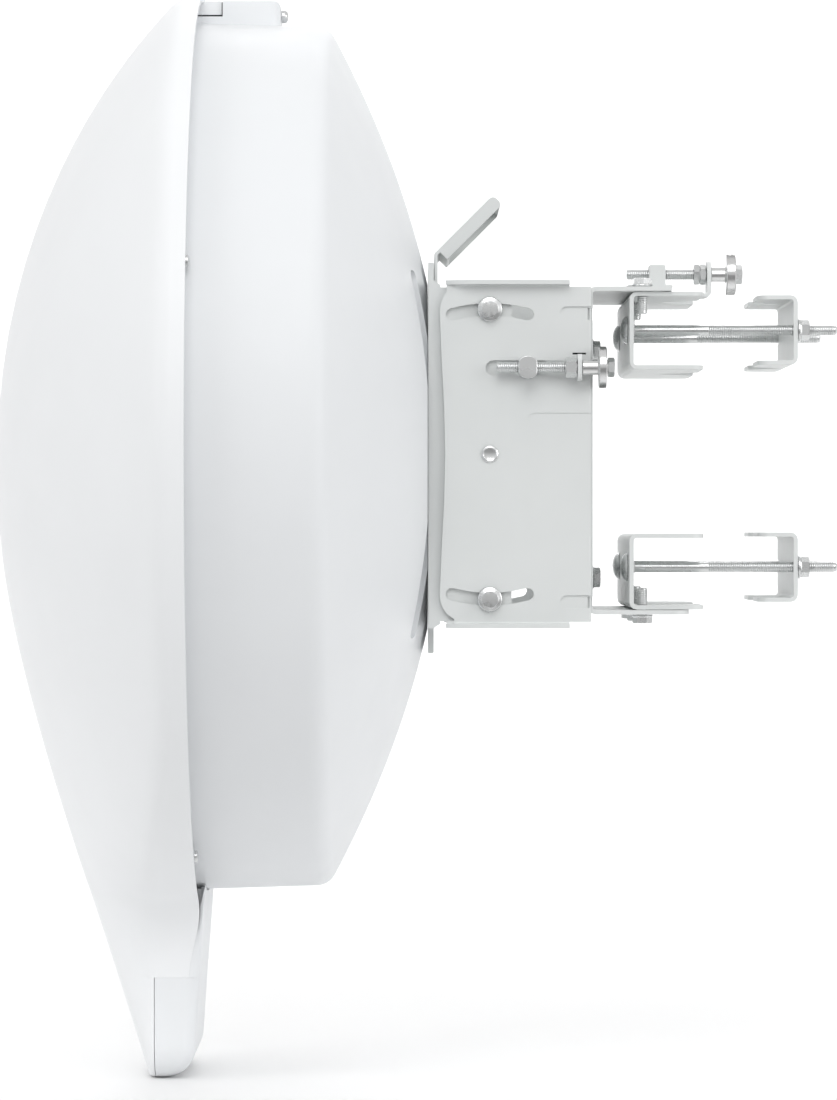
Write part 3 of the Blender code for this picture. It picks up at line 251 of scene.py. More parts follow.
def even_normals(obj):
    """Shade large faces flat, so that the small rounds carry the whole turn."""
    modifier = obj.modifiers.new("normals", "WEIGHTED_NORMAL")
    modifier.keep_sharp = True
    modifier.weight = 80
    apply_modifiers(obj)


def soften(obj, width, segments=2, angle=40):
    """Small rounds on the sharp edges."""
    bevel = obj.modifiers.new("edges", "BEVEL")
    bevel.width = width * MM
    bevel.segments = segments
    bevel.limit_method = "ANGLE"
    bevel.angle_limit = math.radians(angle)
    bevel.harden_normals = False
    apply_modifiers(obj)
    smooth_by_angle(obj, angle)
    return obj


def cleaned(node):
    """New piece from a CAD node's shape."""
    bm = bmesh.new()
    bm.from_mesh(frame["nodes"][node].data)
    bmesh.ops.remove_doubles(bm, verts=bm.verts, dist=1e-6)
    bmesh.ops.dissolve_limit(bm, angle_limit=math.radians(0.5), verts=bm.verts, edges=bm.edges)
    return make_object(node + "_shown", bm)


def refined(node, width):
    """New piece from a CAD node's shape, with rounded edges."""
    return soften(cleaned(node), width)


# ---------------------------------------------------------------- materials
class Shader:
    """Principled material under construction; positions come from object space."""

    def __init__(self, name, roughness, metallic=0.0, **fixed):
        self.material = bpy.data.materials.new(name)
        self.material.use_nodes = True
        self.tree = self.material.node_tree
        self.shader = self.tree.nodes["Principled BSDF"]
        self.shader.inputs["Roughness"].default_value = roughness
        self.shader.inputs["Metallic"].default_value = metallic
        for socket, value in fixed.items():
            self.shader.inputs[socket.replace("_", " ")].default_value = value
        self.place = self.tree.nodes.new("ShaderNodeTexCoord").outputs["Object"]

    def stretch(self, scale):
        mapping = self.tree.nodes.new("ShaderNodeMapping")
        mapping.inputs["Scale"].default_value = scale
        self.tree.links.new(self.place, mapping.inputs["Vector"])
        return mapping.outputs["Vector"]

    def noise(self, size, detail=2.0, vector=None):
        """Noise whose features are about `size` millimetres across."""
        node = self.tree.nodes.new("ShaderNodeTexNoise")
        node.inputs["Scale"].default_value = 1 / (size * MM)
        node.inputs["Detail"].default_value = detail
        self.tree.links.new(vector or self.place, node.inputs["Vector"])
        return node.outputs["Fac"]

    def spread(self, value, bottom, top):
        node = self.tree.nodes.new("ShaderNodeMapRange")
        node.inputs["From Min"].default_value = 0.3
        node.inputs["From Max"].default_value = 0.7
        node.inputs["To Min"].default_value = bottom
        node.inputs["To Max"].default_value = top
        self.tree.links.new(value, node.inputs["Value"])
        return node.outputs["Result"]

    def colours(self, value, dark, light):
        node = self.tree.nodes.new("ShaderNodeValToRGB")
        node.color_ramp.elements[0].position = 0.3
        node.color_ramp.elements[0].color = (*dark, 1)
        node.color_ramp.elements[1].position = 0.7
        node.color_ramp.elements[1].color = (*light, 1)
        self.tree.links.new(value, node.inputs["Fac"])
        self.tree.links.new(node.outputs["Color"], self.shader.inputs["Base Color"])

    def roughness(self, value, bottom, top):
        self.tree.links.new(self.spread(value, bottom, top), self.shader.inputs["Roughness"])

    def bump(self, value, height):
        node = self.tree.nodes.new("ShaderNodeBump")
        node.inputs["Strength"].default_value = 1.0
        node.inputs["Distance"].default_value = height * MM
        self.tree.links.new(value, node.inputs["Height"])
        self.tree.links.new(node.outputs["Normal"], self.shader.inputs["Normal"])


def moulded(name, dark, light, grain=0.9, height=0.006):
    """Satin moulded plastic with a fine spark-eroded grain."""
    shader = Shader(name, 0.4, Specular_IOR_Level=0.2)
    cloudy = shader.noise(60.0, 3.0)
    shader.colours(cloudy, dark, light)
    shader.roughness(shader.noise(18.0, 4.0), 0.36, 0.46)
    shader.bump(shader.noise(grain, 2.0), height)
    return shader.material


def powder_coat():
    """Light grey powder coat with its orange-peel skin."""
    shader = Shader("powder_coat", 0.45, Coat_Weight=0.15, Coat_Roughness=0.3)
    shader.colours(shader.noise(40.0, 2.0), (0.70, 0.72, 0.715), (0.72, 0.738, 0.733))
    shader.roughness(shader.noise(6.0, 3.0), 0.40, 0.50)
    shader.bump(shader.noise(0.9, 1.5), 0.006)
    return shader.material


def zinc_plate():
    """Bright zinc plating with a faint passivation bloom."""
    shader = Shader("zinc_plate", 0.3, 1.0)
    shader.colours(shader.noise(14.0, 1.0), (0.68, 0.69, 0.69), (0.74, 0.75, 0.75))
    shader.roughness(shader.noise(8.0, 1.0), 0.24, 0.30)
    shader.bump(shader.noise(6.0, 1.0), 0.0004)
    return shader.material


def turned_steel():
    """Turned stainless steel with tool marks round its axis."""
    shader = Shader("turned_steel", 0.25, 1.0)
    marks = shader.noise(3.0, 3.0, shader.stretch((14.0, 1.0, 1.0)))
    shader.colours(shader.noise(14.0, 1.0), (0.74, 0.74, 0.74), (0.80, 0.80, 0.80))
    shader.roughness(marks, 0.18, 0.24)
    shader.bump(marks, 0.0002)
    return shader.material


def plain_aluminium():
    """Brushed aluminium."""
    shader = Shader("plain_aluminium", 0.4, 1.0)
    brushed = shader.noise(8.0, 4.0, shader.stretch((1.0, 1.0, 9.0)))
    shader.colours(shader.noise(20.0, 3.0), (0.62, 0.63, 0.64), (0.74, 0.75, 0.76))
    shader.roughness(brushed, 0.32, 0.48)
    shader.bump(brushed, 0.01)
    return shader.material


def solder_mask():
    """Green lacquer of the boards."""
    shader = Shader("solder_mask", 0.45, Coat_Weight=0.3, Coat_Roughness=0.2)
    shader.colours(shader.noise(3.0, 5.0), (0.012, 0.13, 0.05), (0.02, 0.22, 0.09))
    shader.roughness(shader.noise(2.0, 3.0), 0.38, 0.55)
    shader.bump(shader.noise(1.5, 2.0), 0.03)
    return shader.material


def fired_tile():
    """Buff ceramic of the position antenna."""
    shader = Shader("fired_tile", 0.6)
    shader.colours(shader.noise(2.0, 5.0), (0.62, 0.57, 0.46), (0.72, 0.68, 0.58))
    shader.roughness(shader.noise(3.0, 3.0), 0.5, 0.7)
    shader.bump(shader.noise(0.6, 3.0), 0.02)
    return shader.material


def soft_rubber():
    shader = Shader("soft_rubber", 0.8)
    shader.colours(shader.noise(5.0, 4.0), (0.018, 0.018, 0.018), (0.035, 0.035, 0.036))
    shader.roughness(shader.noise(2.0, 3.0), 0.7, 0.88)
    shader.bump(shader.noise(0.7, 3.0), 0.03)
    return shader.material


def black_plastic():
    return moulded("black_plastic", (0.030, 0.030, 0.034), (0.045, 0.045, 0.05), 0.7, 0.01)


MATERIALS = {
    "radome_white": moulded("radome_white", (0.845, 0.857, 0.869), (0.86, 0.872, 0.884)),
    "housing_white": moulded("housing_white", (0.79, 0.805, 0.82), (0.805, 0.82, 0.835), 1.1, 0.006),
    "bracket_grey": powder_coat(),
    "zinc": zinc_plate(),
    "bright_steel": turned_steel(),
    "aluminium": plain_aluminium(),
    "board": solder_mask(),
    "antenna_tile": fired_tile(),
    "rubber": soft_rubber(),
    "socket_black": black_plastic(),
}


def dress(obj, slot):
    obj.data.materials.clear()
    obj.data.materials.append(MATERIALS[slot])
    return obj


def stand_for(obj, node):
    """Show a piece in place of a CAD node, on the node's own body."""
    obj.name = node + "_shown"
    even_normals(obj)
    dress(obj, SLOT_OF[node])
    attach(obj, frame["nodes"][node]["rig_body"])
    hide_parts(node)
    return obj


def add_on(obj, name, slot, body):
    """Detail piece that no CAD node stands for."""
    obj.name = name
    even_normals(obj)
    dress(obj, slot)
    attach(obj, body)
    return obj


def dress_frame():
    for node, obj in frame["nodes"].items():
        for material_slot in obj.material_slots:
            material_slot.material = MATERIALS[SLOT_OF[node]]


# ---------------------------------------------------------------- radome
FILLET = 40.0                                  # round between the dish and the tail's sides
SPINE_SLOPE = 0.36
SPINE_REACH = 110.0
SPINE_START = 15.0
FRONT_HEIGHT = 340.0
DISH_EDGE_X = -294.1
TAIL_EDGE_X = -309.0
TAIL_SQUARENESS = 0.96
FRONT_COLUMNS = 20
EDGE_ROUND = 6.0                               # how far the rim's round reaches each way
RIM_END_Z = -242.4                             # the rim's lower end, beside the drum's foot
STEP_END_Z = -284.0                            # below this the seam lies at RIM_X


def half_width(z, inset=0.0):
    """Half width of the front outline at a height below the dish axis."""
    centre_y = TAIL_HALF + FILLET
    centre_z = -math.sqrt((RIM_RADIUS + FILLET) ** 2 - centre_y ** 2)
    lift = FOOT_Z + FOOT_CORNER - z
    if z > centre_z * RIM_RADIUS / (RIM_RADIUS + FILLET):
        return math.sqrt(RIM_RADIUS ** 2 - z ** 2) - inset
    if z > centre_z:
        return centre_y - math.sqrt(FILLET ** 2 - (z - centre_z) ** 2) - inset
    if lift <= 0:
        return TAIL_HALF - inset
    return TAIL_HALF - FOOT_CORNER + math.sqrt(max(0.0, (FOOT_CORNER - inset) ** 2 - lift ** 2))


def spine_x(z):
    below = max(0.0, -z - SPINE_START)
    return APEX_X + SPINE_SLOPE * (math.hypot(below, SPINE_REACH) - SPINE_REACH)


def tail_share(z):
    t = min(1.0, max(0.0, (-z - 120.0) / 140.0))
    return t * t * (3 - 2 * t)


def front_x(spine, z, share):
    """Front of the radome at a share (0 middle, 1 edge) of the way to its outline."""
    tail = tail_share(min(z, 0.0))
    roundness = RIM_RADIUS / FRONT_HEIGHT
    roundness += (TAIL_SQUARENESS - roundness) * tail
    edge = DISH_EDGE_X + (TAIL_EDGE_X - DISH_EDGE_X) * tail
    fall = 1 - math.sqrt(1 - (roundness * share) ** 2)
    return spine + (edge - spine) * fall / (1 - math.sqrt(1 - roundness ** 2))


def section(spine, edge_z, spine_z, reach, rear):
    """(share, x) down one ray: the front, its rounded edge, then the rim's wall."""
    start = 1 - EDGE_ROUND / reach
    step = 0.002
    points = []
    for column in range(1, FRONT_COLUMNS + 1):
        share = start * math.sin(math.pi / 2 * column / FRONT_COLUMNS)
        points.append((share, front_x(spine, spine_z + (edge_z - spine_z) * share, share)))
    x = points[-1][1]
    before = front_x(spine, spine_z + (edge_z - spine_z) * (start - step), start - step)
    corner = x + (x - before) / step * (1 - start)
    corner = min(corner, rear - 1.0)
    end = min(corner + EDGE_ROUND, rear - 0.5)
    return points + bend((start, x), (1.0, corner), (1.0, end), 6)[1:]


def round_dish_x(y):
    return RIM_REAR_X + RIM_BOW * (y / RIM_RADIUS) ** 2


def rear_edge_x(y, z):
    """Rear edge of the radome: nearly flat round the dish, stepped forward on the tail."""
    if z < COVER_TOP:
        return COVER_FRONT - GAP
    t = min(1.0, max(0.0, (z - STEP_END_Z) / (RIM_END_Z - STEP_END_Z)))
    front = RIM_X + GAP - SEAM
    return front + (round_dish_x(y) - front) * t * t * (3 - 2 * t)


def radome_rays(inset, angles=48, tail_rows=14, corner_rows=6):
    """(edge y, edge z, spine z) from the top of the ring down to the foot."""
    radius = RIM_RADIUS - inset
    rays = []
    for step in range(angles):
        angle = math.pi / 2 * (1 - step / angles)
        rays.append((radius * math.cos(angle), radius * math.sin(angle), 0.0))
    straight_end = FOOT_Z + FOOT_CORNER
    heights = [-RIM_RADIUS * math.sin(math.pi / 2 * step / angles) for step in range(angles - 9)]
    for start, end in ((heights[-1], COVER_TOP + 0.01), (COVER_TOP - 0.01, straight_end)):
        heights += [start + (end - start) * step / tail_rows for step in range(tail_rows + 1)][1:]
        heights.append(COVER_TOP - 0.01)
    heights = sorted(set(heights), reverse=True)
    rays += [(half_width(z, inset), z, z) for z in heights]
    for step in range(1, corner_rows + 1):
        z = straight_end - (FOOT_CORNER - inset) * math.sin(math.pi / 2 * step / corner_rows)
        rays.append((half_width(z, inset), z, z))
    return rays


def radome_skin(bm, inset):
    """One side of the shell's wall; returns the rim's vertices on each side."""
    spines = {}
    sides = {1: [], -1: []}
    for edge_y, edge_z, spine_z in radome_rays(inset):
        spine = spine_x(spine_z)
        rear = rear_edge_x(edge_y, edge_z)
        limit = rear - (GAP if inset else 0.0)
        if spine_z not in spines:
            spines[spine_z] = bm.verts.new(place(0, spine_z, min(spine + inset, limit), "X"))
        for side in sides:
            if edge_y < 1e-6 and side == -1:
                sides[side].append(sides[1][-1])
                continue
            row = [spines[spine_z]]
            reach = math.hypot(edge_y, edge_z - spine_z)
            for share, x in section(spine, spine_z, spine_z, reach, rear):
                z = spine_z + (edge_z - spine_z) * share
                row.append(bm.verts.new(place(side * edge_y * share, z, min(x + inset, limit), "X")))
            row.append(bm.verts.new(place(side * edge_y, edge_z, rear, "X")))
            sides[side].append(row)
    for rows in sides.values():
        for row, below in zip(rows, rows[1:]):
            for inner, outer, low_outer, low_inner in zip(row, row[1:], below[1:], below):
                bm.faces.new(list(dict.fromkeys((inner, outer, low_outer, low_inner))))
    bm.faces.new(sides[1][-1] + sides[-1][-1][:0:-1])
    return [[row[-1] for row in rows] for rows in sides.values()]


def build_radome():
    """Moulded front shell with its rolled rim, plus the locating tab on top."""
    bm = bmesh.new()
    outside = radome_skin(bm, 0.0)
    inside = radome_skin(bm, WALL)
    for outer, inner in zip(outside, inside):
        for index in range(len(outer) - 1):
            bm.faces.new((outer[index], outer[index + 1], inner[index + 1], inner[index]))
    bm.faces.new((outside[0][-1], outside[1][-1], inside[1][-1], inside[0][-1]))
    shell = make_object("radome", bm, 50)
    stand_for(shell, "radome_shell")

    base, end, root, top = NOTCH_Z + 1.1, NOTCH_X - 0.6, TAB_ROOT_Z, LATCH_TOP
    side = rounded([(RIM_X - 2.5, root, 0), (RIM_X - 0.2, root, 0), (RIM_X - 0.2, base, 0),
                    (end, base, 0.5), (end, top, 0.8), (RIM_X - 2.5, top, 0)])
    tab = prism(side, "Y", -TAB_HALF, TAB_HALF)
    lug = rounded([(-6, 238.4, 1.5), (6, 238.4, 1.5), (6, top - 1, 0), (-6, top - 1, 0)])
    join(tab, prism(lug, "X", RIM_X - 0.1, RIM_X + 5.5))
    cut(tab, tube(SCREW_HOLE, "X", RIM_X - 1, -268, (0, 242.0), 24))
    add_on(soften(tab, 0.3), "radome_tab", "radome_white", "dish")
    # painted shade: black strips in the gap round the tab stand in for its dark shadow line
    build_tab_gap_painted_shade(base, end)


def build_tab_gap_painted_shade(base, end):
    """Black strip in the gap round the tab, under it and behind it: painted shade standing in for the
    gap's dark shadow line.
    """
    inner, outer = 0.05, 0.1
    angle = [(RIM_X + 6.0, NOTCH_Z + outer), (NOTCH_X - outer, NOTCH_Z + outer),
             (NOTCH_X - outer, LATCH_TOP - 0.6), (end + inner, LATCH_TOP - 0.6),
             (end + inner, base - inner), (RIM_X + 6.0, base - inner)]
    for side, label in ((-1, "near"), (1, "far")):
        start, stop = sorted((side * 7.0, side * 19.6))
        add_on(soften(prism(angle, "Y", start, stop), 0.1), "tab_gap_painted_shade_" + label, "rubber", "dish")


# ---------------------------------------------------------------- rear housing
POCKET_Y = (72.5, 87.5)                        # pockets that clear the bracket's sides
POCKET_HALF = 98
POCKET_FLOOR_X = -171.5
RIM_SCREW_RADIUS = 242.8
RIM_SCREW_ANGLES = ((22.8, "upper"), (-60.6, "lower"))


def dome_x(radius):
    return DOME_X - radius ** 2 / DOME_SPAN


def build_rear_housing():
    """Drum with its flange, a paraboloid back, the boss and the bracket's clearance pockets."""
    inner = WALL + 0.2
    edge = DRUM_REAR_RADIUS
    boss_radius = math.sqrt((DOME_X - BOSS_X) * DOME_SPAN)
    rows = 24
    profile = [(BOSS_X, 0), (BOSS_X, boss_radius - 1.0)]
    profile += [(dome_x(radius), radius) for radius
                in [boss_radius + (DOME_EDGE - boss_radius) * step / rows for step in range(rows)]]
    profile += bend((dome_x(DOME_EDGE), DOME_EDGE), (dome_x(edge), edge), (-222.0, edge), 10)
    profile += bend((RIM_X + 2.2, DRUM_RADIUS), (RIM_X - 0.6, DRUM_RADIUS),
                    (RIM_X - 0.6, DRUM_RADIUS + 2.5), 4)
    profile += [(RIM_X - 0.6, FLANGE_RADIUS), (RIM_X - 3.0, FLANGE_RADIUS), (RIM_X - 3.0, edge - inner),
                (-224.0, edge - inner)]
    profile += [(dome_x(radius) - inner, radius) for radius in range(228, 139, -8)]
    profile += [(-175.0, 137.0), (-175.0, 0)]
    housing = lathe(profile, "X", (0, 0), 160, "rear_housing")
    for side in (-1, 1):
        near, far = sorted(side * y for y in POCKET_Y)
        pocket = rounded([(near, -POCKET_HALF, 5), (far, -POCKET_HALF, 5),
                          (far, POCKET_HALF, 5), (near, POCKET_HALF, 5)])
        cut(housing, prism(pocket, "X", POCKET_FLOOR_X, BOSS_X + 10))
    smooth_by_angle(housing, 30)
    stand_for(housing, "rear_housing")


def build_rim_screws():
    """Captive screws behind the radome's rim, two on each side."""
    for side, label in ((-1, "near"), (1, "far")):
        for elevation, level in RIM_SCREW_ANGLES:
            angle = math.radians(elevation)
            centre = (side * RIM_SCREW_RADIUS * math.cos(angle), RIM_SCREW_RADIUS * math.sin(angle))
            head_x = rear_edge_x(centre[0], centre[1]) + 1.6
            screw = lathe([(RIM_X - 0.3, 0), (RIM_X - 0.3, 2.2), (head_x - 1.8, 2.2),
                           (head_x - 1.8, 3.4), (head_x - 0.5, 3.3), (head_x, 2.4),
                           (head_x + 0.1, 0)], "X", centre, 24)
            cut(screw, prism(circle(centre, 1.3, 6), "X", head_x - 1.2, head_x + 1))
            add_on(screw, "rim_screw_" + label + "_" + level, "zinc", "dish")


# ---------------------------------------------------------------- tail
TAIL_REAR_X = -280.0                           # rear of the tail at TAIL_LEAN_Z
TAIL_LEAN_Z = -238.0
TAIL_LEAN = 0.066
HEEL = 16.0


def tail_rear_x(z):
    x = TAIL_REAR_X + TAIL_LEAN * (z - TAIL_LEAN_Z)
    lift = FOOT_Z + HEEL - z
    if lift > 0:
        x -= HEEL - math.sqrt(max(0.0, HEEL ** 2 - lift ** 2))
    return x


def tail_block(heights, front, inset):
    """Loft of horizontal sections with rounded rear corners; front(z) is its front face."""
    bm = bmesh.new()
    sections = []
    for z in heights:
        rear = tail_rear_x(z) - inset
        width = min(half_width(z), TAIL_HALF + 1.5) - inset
        corner = min(7.0, width / 2, (rear - front(z)) * 0.6)
        outline = rounded([(front(z), -width, 0), (rear, -width, corner),
                           (rear, width, corner), (front(z), width, 0)], 8)
        sections.append([bm.verts.new(place(x, y, z, "Z")) for x, y in outline])
    bm.faces.new(sections[0])
    bm.faces.new(sections[-1])
    for upper, lower in zip(sections, sections[1:]):
        for index in range(len(upper)):
            after = (index + 1) % len(upper)
            bm.faces.new((upper[index], upper[after], lower[after], lower[index]))
    return make_object("tool", bm)


def seam_x(z):
    """Front of the tail housing, along the radome's rear edge."""
    return rear_edge_x(TAIL_HALF, min(z, RIM_END_Z)) + SEAM


def build_tail():
    """Rear shell of the tail, the port cover below it and its cable gland."""
    rows = 8
    heights = [-228.0, -234.0, RIM_END_Z]
    heights += [RIM_END_Z + (COVER_TOP - RIM_END_Z) * row / rows for row in range(1, rows + 1)]
    housing = tail_block(heights, seam_x, 0)
    cut(housing, tail_block([-200.0, -245.0, COVER_TOP - 5], lambda z: RIM_X - 2, WALL),
        tube(DRUM_RADIUS + 0.6, "X", -300, -270, (0, 0), 160))
    for side in (-1, 1):
        near, far = sorted((side * 46.0, side * 62.0))
        wedge = [(-290.0, -225.0), (-278.0, -225.0), (RIM_REAR_X, RIM_END_Z), (-290.0, RIM_END_Z)]
        cut(housing, prism(wedge, "Y", near, far))
    stand_for(soften(housing, 0.1), "tail_housing")

    straight_end = FOOT_Z + FOOT_ROUND
    heights = [COVER_TOP - SEAM, -292.0, -304.0, straight_end]
    heights += [straight_end - FOOT_ROUND * math.sin(math.pi / 2 * step / 20)
                for step in range(1, 21)]
    cover = tail_block(heights, lambda z: COVER_FRONT, 0)
    pocket = [COVER_TOP + 5, -300.0]
    pocket += [FOOT_Z + lift for lift in (18.0, 13.0, 9.0, 6.0, 4.2, WALL)]
    gland = middle("cable_gland")
    cut(cover, tail_block(pocket, lambda z: COVER_FRONT - 5, WALL),
        tube(4.2, "Z", FOOT_Z - 5, FOOT_Z + 10, (gland.x, gland.y), 32))
    stand_for(soften(cover, 0.1), "port_cover")

    floor = FOOT_Z + WALL
    sleeve = lathe([(FOOT_Z + 0.6, 2.6), (FOOT_Z + 0.6, 3.7), (FOOT_Z + 0.9, 3.9),
                    (floor + GAP, 3.9), (floor + GAP, 5.2), (floor + 0.6, 5.4),
                    (floor + 2.0, 5.4), (floor + 2.3, 5.1), (floor + 6.0, 3.4),
                    (floor + 6.0, 2.6)], "Z", (gland.x, gland.y), 48)
    stand_for(sleeve, "cable_gland")


def build_latch():
    """Latch block, faired down into the drum, and its captive screw."""
    front, rear = low("latch_housing").x, high("latch_housing").x
    half, top = high("latch_housing").y, high("latch_housing").z
    plan = rounded([(front, -half, 0), (rear, -half, 6), (rear, half, 6), (front, half, 0)], 8)
    block = prism(plan, "Z", DRUM_RADIUS - 9, top + 5)
    side = rounded([(front - 3, 220, 0), (rear + 3, 220, 0), (rear - 0.2, top, 3.5),
                    (front - 3, top, 0)], 8)
    combine(block, "INTERSECT", [prism(side, "Y", -40, 40)])
    cut(block, prism([(front - 5, NOTCH_Z), (NOTCH_X, NOTCH_Z), (NOTCH_X, top + 9),
                      (front - 5, top + 9)], "Y", -40, 40))
    soften(block, 0.6)
    drum = bend((rear + 20, DRUM_REAR_RADIUS - 1.2), (-262.0, DRUM_REAR_RADIUS - 1.0),
                (front - 9, DRUM_RADIUS - 1.4), 4)
    cut(block, lathe([(rear + 20, 0)] + drum + [(front - 9, 0)], "X", (0, 0), 96),
        prism([(front - 5, -6.4), (front + 6, -6.4), (front + 6, 6.4), (front - 5, 6.4)],
              "Z", 220, top + 9),
        tube(SCREW_HOLE, "X", front - 5, rear + 5, (0, middle("latch_screw").z), 32))
    stand_for(block, "latch_housing")
    screw = middle("latch_screw")
    front, rear = low("latch_screw").x, high("latch_screw").x
    head = rear - 3.6
    dome = bend((head + 1.2, 3.7), (rear, 3.4), (rear, 0.9), 6)
    shape = lathe([(front, 0), (front, 1.3), (front + 0.5, 1.6), (head, 1.6), (head, 3.6)]
                  + dome + [(rear, 0)], "X", (screw.y, screw.z), 40)
    cut(shape, prism(circle((screw.y, screw.z), 1.5, 6), "X", rear - 1.8, rear + 1))
    stand_for(shape, "latch_screw")


# ---------------------------------------------------------------- fasteners
def hexagon_solid(across_flats, start, end, chamfer_both=False):
    """Hexagon along Z whose corners are chamfered at its end."""
    corner = across_flats / math.sqrt(3)
    face = across_flats / 2 * 0.96
    drop = (corner - face) * 0.5
    profile = [(start, 0), (start, corner + 0.1), (end - drop, corner + 0.1), (end, face), (end, 0)]
    if chamfer_both:
        profile[1:2] = [(start, face), (start + drop, corner + 0.1)]
    solid = prism(circle((0, 0), corner, 6), "Z", start, end)
    return combine(solid, "INTERSECT", [lathe(profile, "Z", (0, 0), 48)])


def thread_profile(start, end):
    """(along, radius) points of V grooves between two heights, start above end."""
    count = max(1, int((start - end) / PITCH))
    points = []
    for turn in range(count):
        crest = start - PITCH * turn
        root = crest - PITCH * 0.62
        points += [(crest, THREAD), (crest - PITCH * 0.25, THREAD), (root, THREAD - THREAD_DEPTH)]
    points.append((end, THREAD - THREAD_DEPTH))
    return points


def flange_bolt(length, across_flats, head, flange_radius):
    """Flange bolt whose head's top is at 0, standing down along -Z."""
    seat = -head - 1.5
    profile = [(-head + 0.5, 0), (-head + 0.5, across_flats * 0.5), (-head, flange_radius - 0.9)]
    profile += bend((-head, flange_radius - 0.9), (-head, flange_radius),
                    (seat + 0.5, flange_radius), 4)[1:]
    profile += [(seat, flange_radius - 0.3), (seat, THREAD)]
    profile += thread_profile(seat - 0.6, -length + 0.4) + [(-length, THREAD - 0.8), (-length, 0)]
    bolt = lathe(profile, "Z", (0, 0), 40)
    return join(bolt, hexagon_solid(across_flats, -head - 0.3, 0))


def turned_to(obj, node, direction):
    """Put a piece that stands on 0 along Z at a node's outermost face."""
    centre = middle(node)
    direction = Vector(direction)
    reach = (high(node) - low(node)).dot(Vector([abs(c) for c in direction])) / 2
    obj.rotation_mode = "QUATERNION"
    obj.rotation_quaternion = Vector((0, 0, 1)).rotation_difference(direction)
    obj.location = (centre + direction * reach) * MM
    bpy.context.view_layer.update()
    obj.data.transform(obj.matrix_world)
    obj.matrix_world = Matrix.Identity(4)
    return obj


def build_bolts():
    """All flange bolts, each in its CAD node's place."""
    families = (
        ("elevation_lock_bolt_near", (0, -1, 0), 8.6, 4.4, 6.7),
        ("elevation_lock_bolt_far", (0, 1, 0), 8.6, 4.4, 6.7),
        ("bracket_bolt", (1, 0, 0), 9.4, 3.7, 6.6),
        ("azimuth", (0, 0, 1), 9.2, 3.0, 5.6),
    )
    for prefix, direction, across_flats, head, flange_radius in families:
        for node in sorted(SLOT_OF):
            if not node.startswith(prefix) or "bolt" not in node:
                continue
            way = Vector(direction)
            if prefix == "azimuth" and node.endswith("lower"):
                way = -way
            size = high(node) - low(node)
            length = abs(size.dot(way))
            bolt = flange_bolt(length, across_flats, head, flange_radius)
            turn = Matrix.Rotation(0.37 * len(node) + size.x, 4, "Z")
            bolt.data.transform(turn)
            stand_for(turned_to(bolt, node, way), node)


def build_pole_bolts():
    """Carriage bolts: domed head, square neck, plain shank, then thread."""
    for node in [name for name in SLOT_OF if name.startswith("carriage_bolt")]:
        start, end = low(node).x, high(node).x
        centre = (middle(node).y, middle(node).z)
        seat = start + 3.6
        dome = bend((seat, 7.5), (start + 0.4, 6.6), (start, 0), 8)
        thread = [(start + end - along, radius) for along, radius
                  in thread_profile(start + end + 9.0, start + 0.8)]
        plain = [(seat, THREAD), (-9.5, THREAD)]
        bolt = lathe([(start, 0)] + dome[-2::-1] + plain + thread
                     + [(end, THREAD - 0.9), (end, 0)], "X", centre, 32)
        neck = 3.0
        square = rounded([(centre[0] + u * neck, centre[1] + v * neck, 0.5)
                          for u, v in ((-1, -1), (1, -1), (1, 1), (-1, 1))], 3)
        join(bolt, prism(square, "X", seat - 0.2, seat + 4.2))
        stand_for(bolt, node)


def build_flange_nuts():
    """Nuts with a wide seat on the pole bolts."""
    for node in [name for name in SLOT_OF if name.startswith("flange_nut")]:
        height = high(node).x - low(node).x
        seat = -height
        flange = lathe([(seat, 0), (seat, 6.1), (seat + 0.3, 6.3), (seat + 1.1, 6.3),
                        (seat + 1.9, 5.0), (seat + 1.9, 0)], "Z", (0, 0), 48)
        join(flange, hexagon_solid(9.6, seat + 1.0, 0))
        bore = lathe([(seat - 1, 0), (seat - 1, 3.3), (-0.6, 3.3), (0.1, 3.9), (1, 3.9), (1, 0)])
        cut(flange, bore)
        stand_for(turned_to(flange, node, (1, 0, 0)), node)


def build_pivot_pins():
    """Shouldered pins of the tilt axis, slightly dished at the outer end."""
    for node, side in (("pivot_pin_near", -1), ("pivot_pin_far", 1)):
        outer = 81.0
        profile = [(72.0, 0), (72.0, 5.5), (72.4, 6.0), (74.0, 6.0), (74.0, 3.7), (80.3, 3.7),
                   (80.3, 4.2), (80.6, 4.5), (outer - 0.2, 4.2), (outer, 3.6), (outer - 0.4, 2.6),
                   (outer - 0.4, 0)]
        pin = lathe([(side * along, radius) for along, radius in profile], "Y",
                    (middle(node).x, middle(node).z), 40)
        stand_for(pin, node)


# ---------------------------------------------------------------- adjusters
WHEEL_WIDTH = {"elevation_wheel": 4.3, "azimuth_wheel": 5.1}
WHEEL_TEETH = 30
KNURL_ROWS = 3
KNURL_DEPTH = 0.6


def build_screw(node, hex_length, across_flats=9.0):
    """Adjusting screw along X with its hexagon end on the pole side."""
    start, end = low(node).x, high(node).x
    centre = (middle(node).y, middle(node).z)
    thread = [(start + end - along, radius) for along, radius
              in thread_profile(end - 0.6, start + hex_length - 0.4)]
    rod = lathe([(start, 0), (start, THREAD - 0.8)] + thread + [(end - hex_length + 0.6, 0)],
                "X", centre, 32)
    cap = hexagon_solid(across_flats, -hex_length, 0, chamfer_both=True)
    cap.data.transform(Matrix.Translation((end * MM, centre[0] * MM, centre[1] * MM))
                       @ Matrix.Rotation(math.pi / 2, 4, "Y"))
    join(rod, cap)
    stand_for(rod, node)


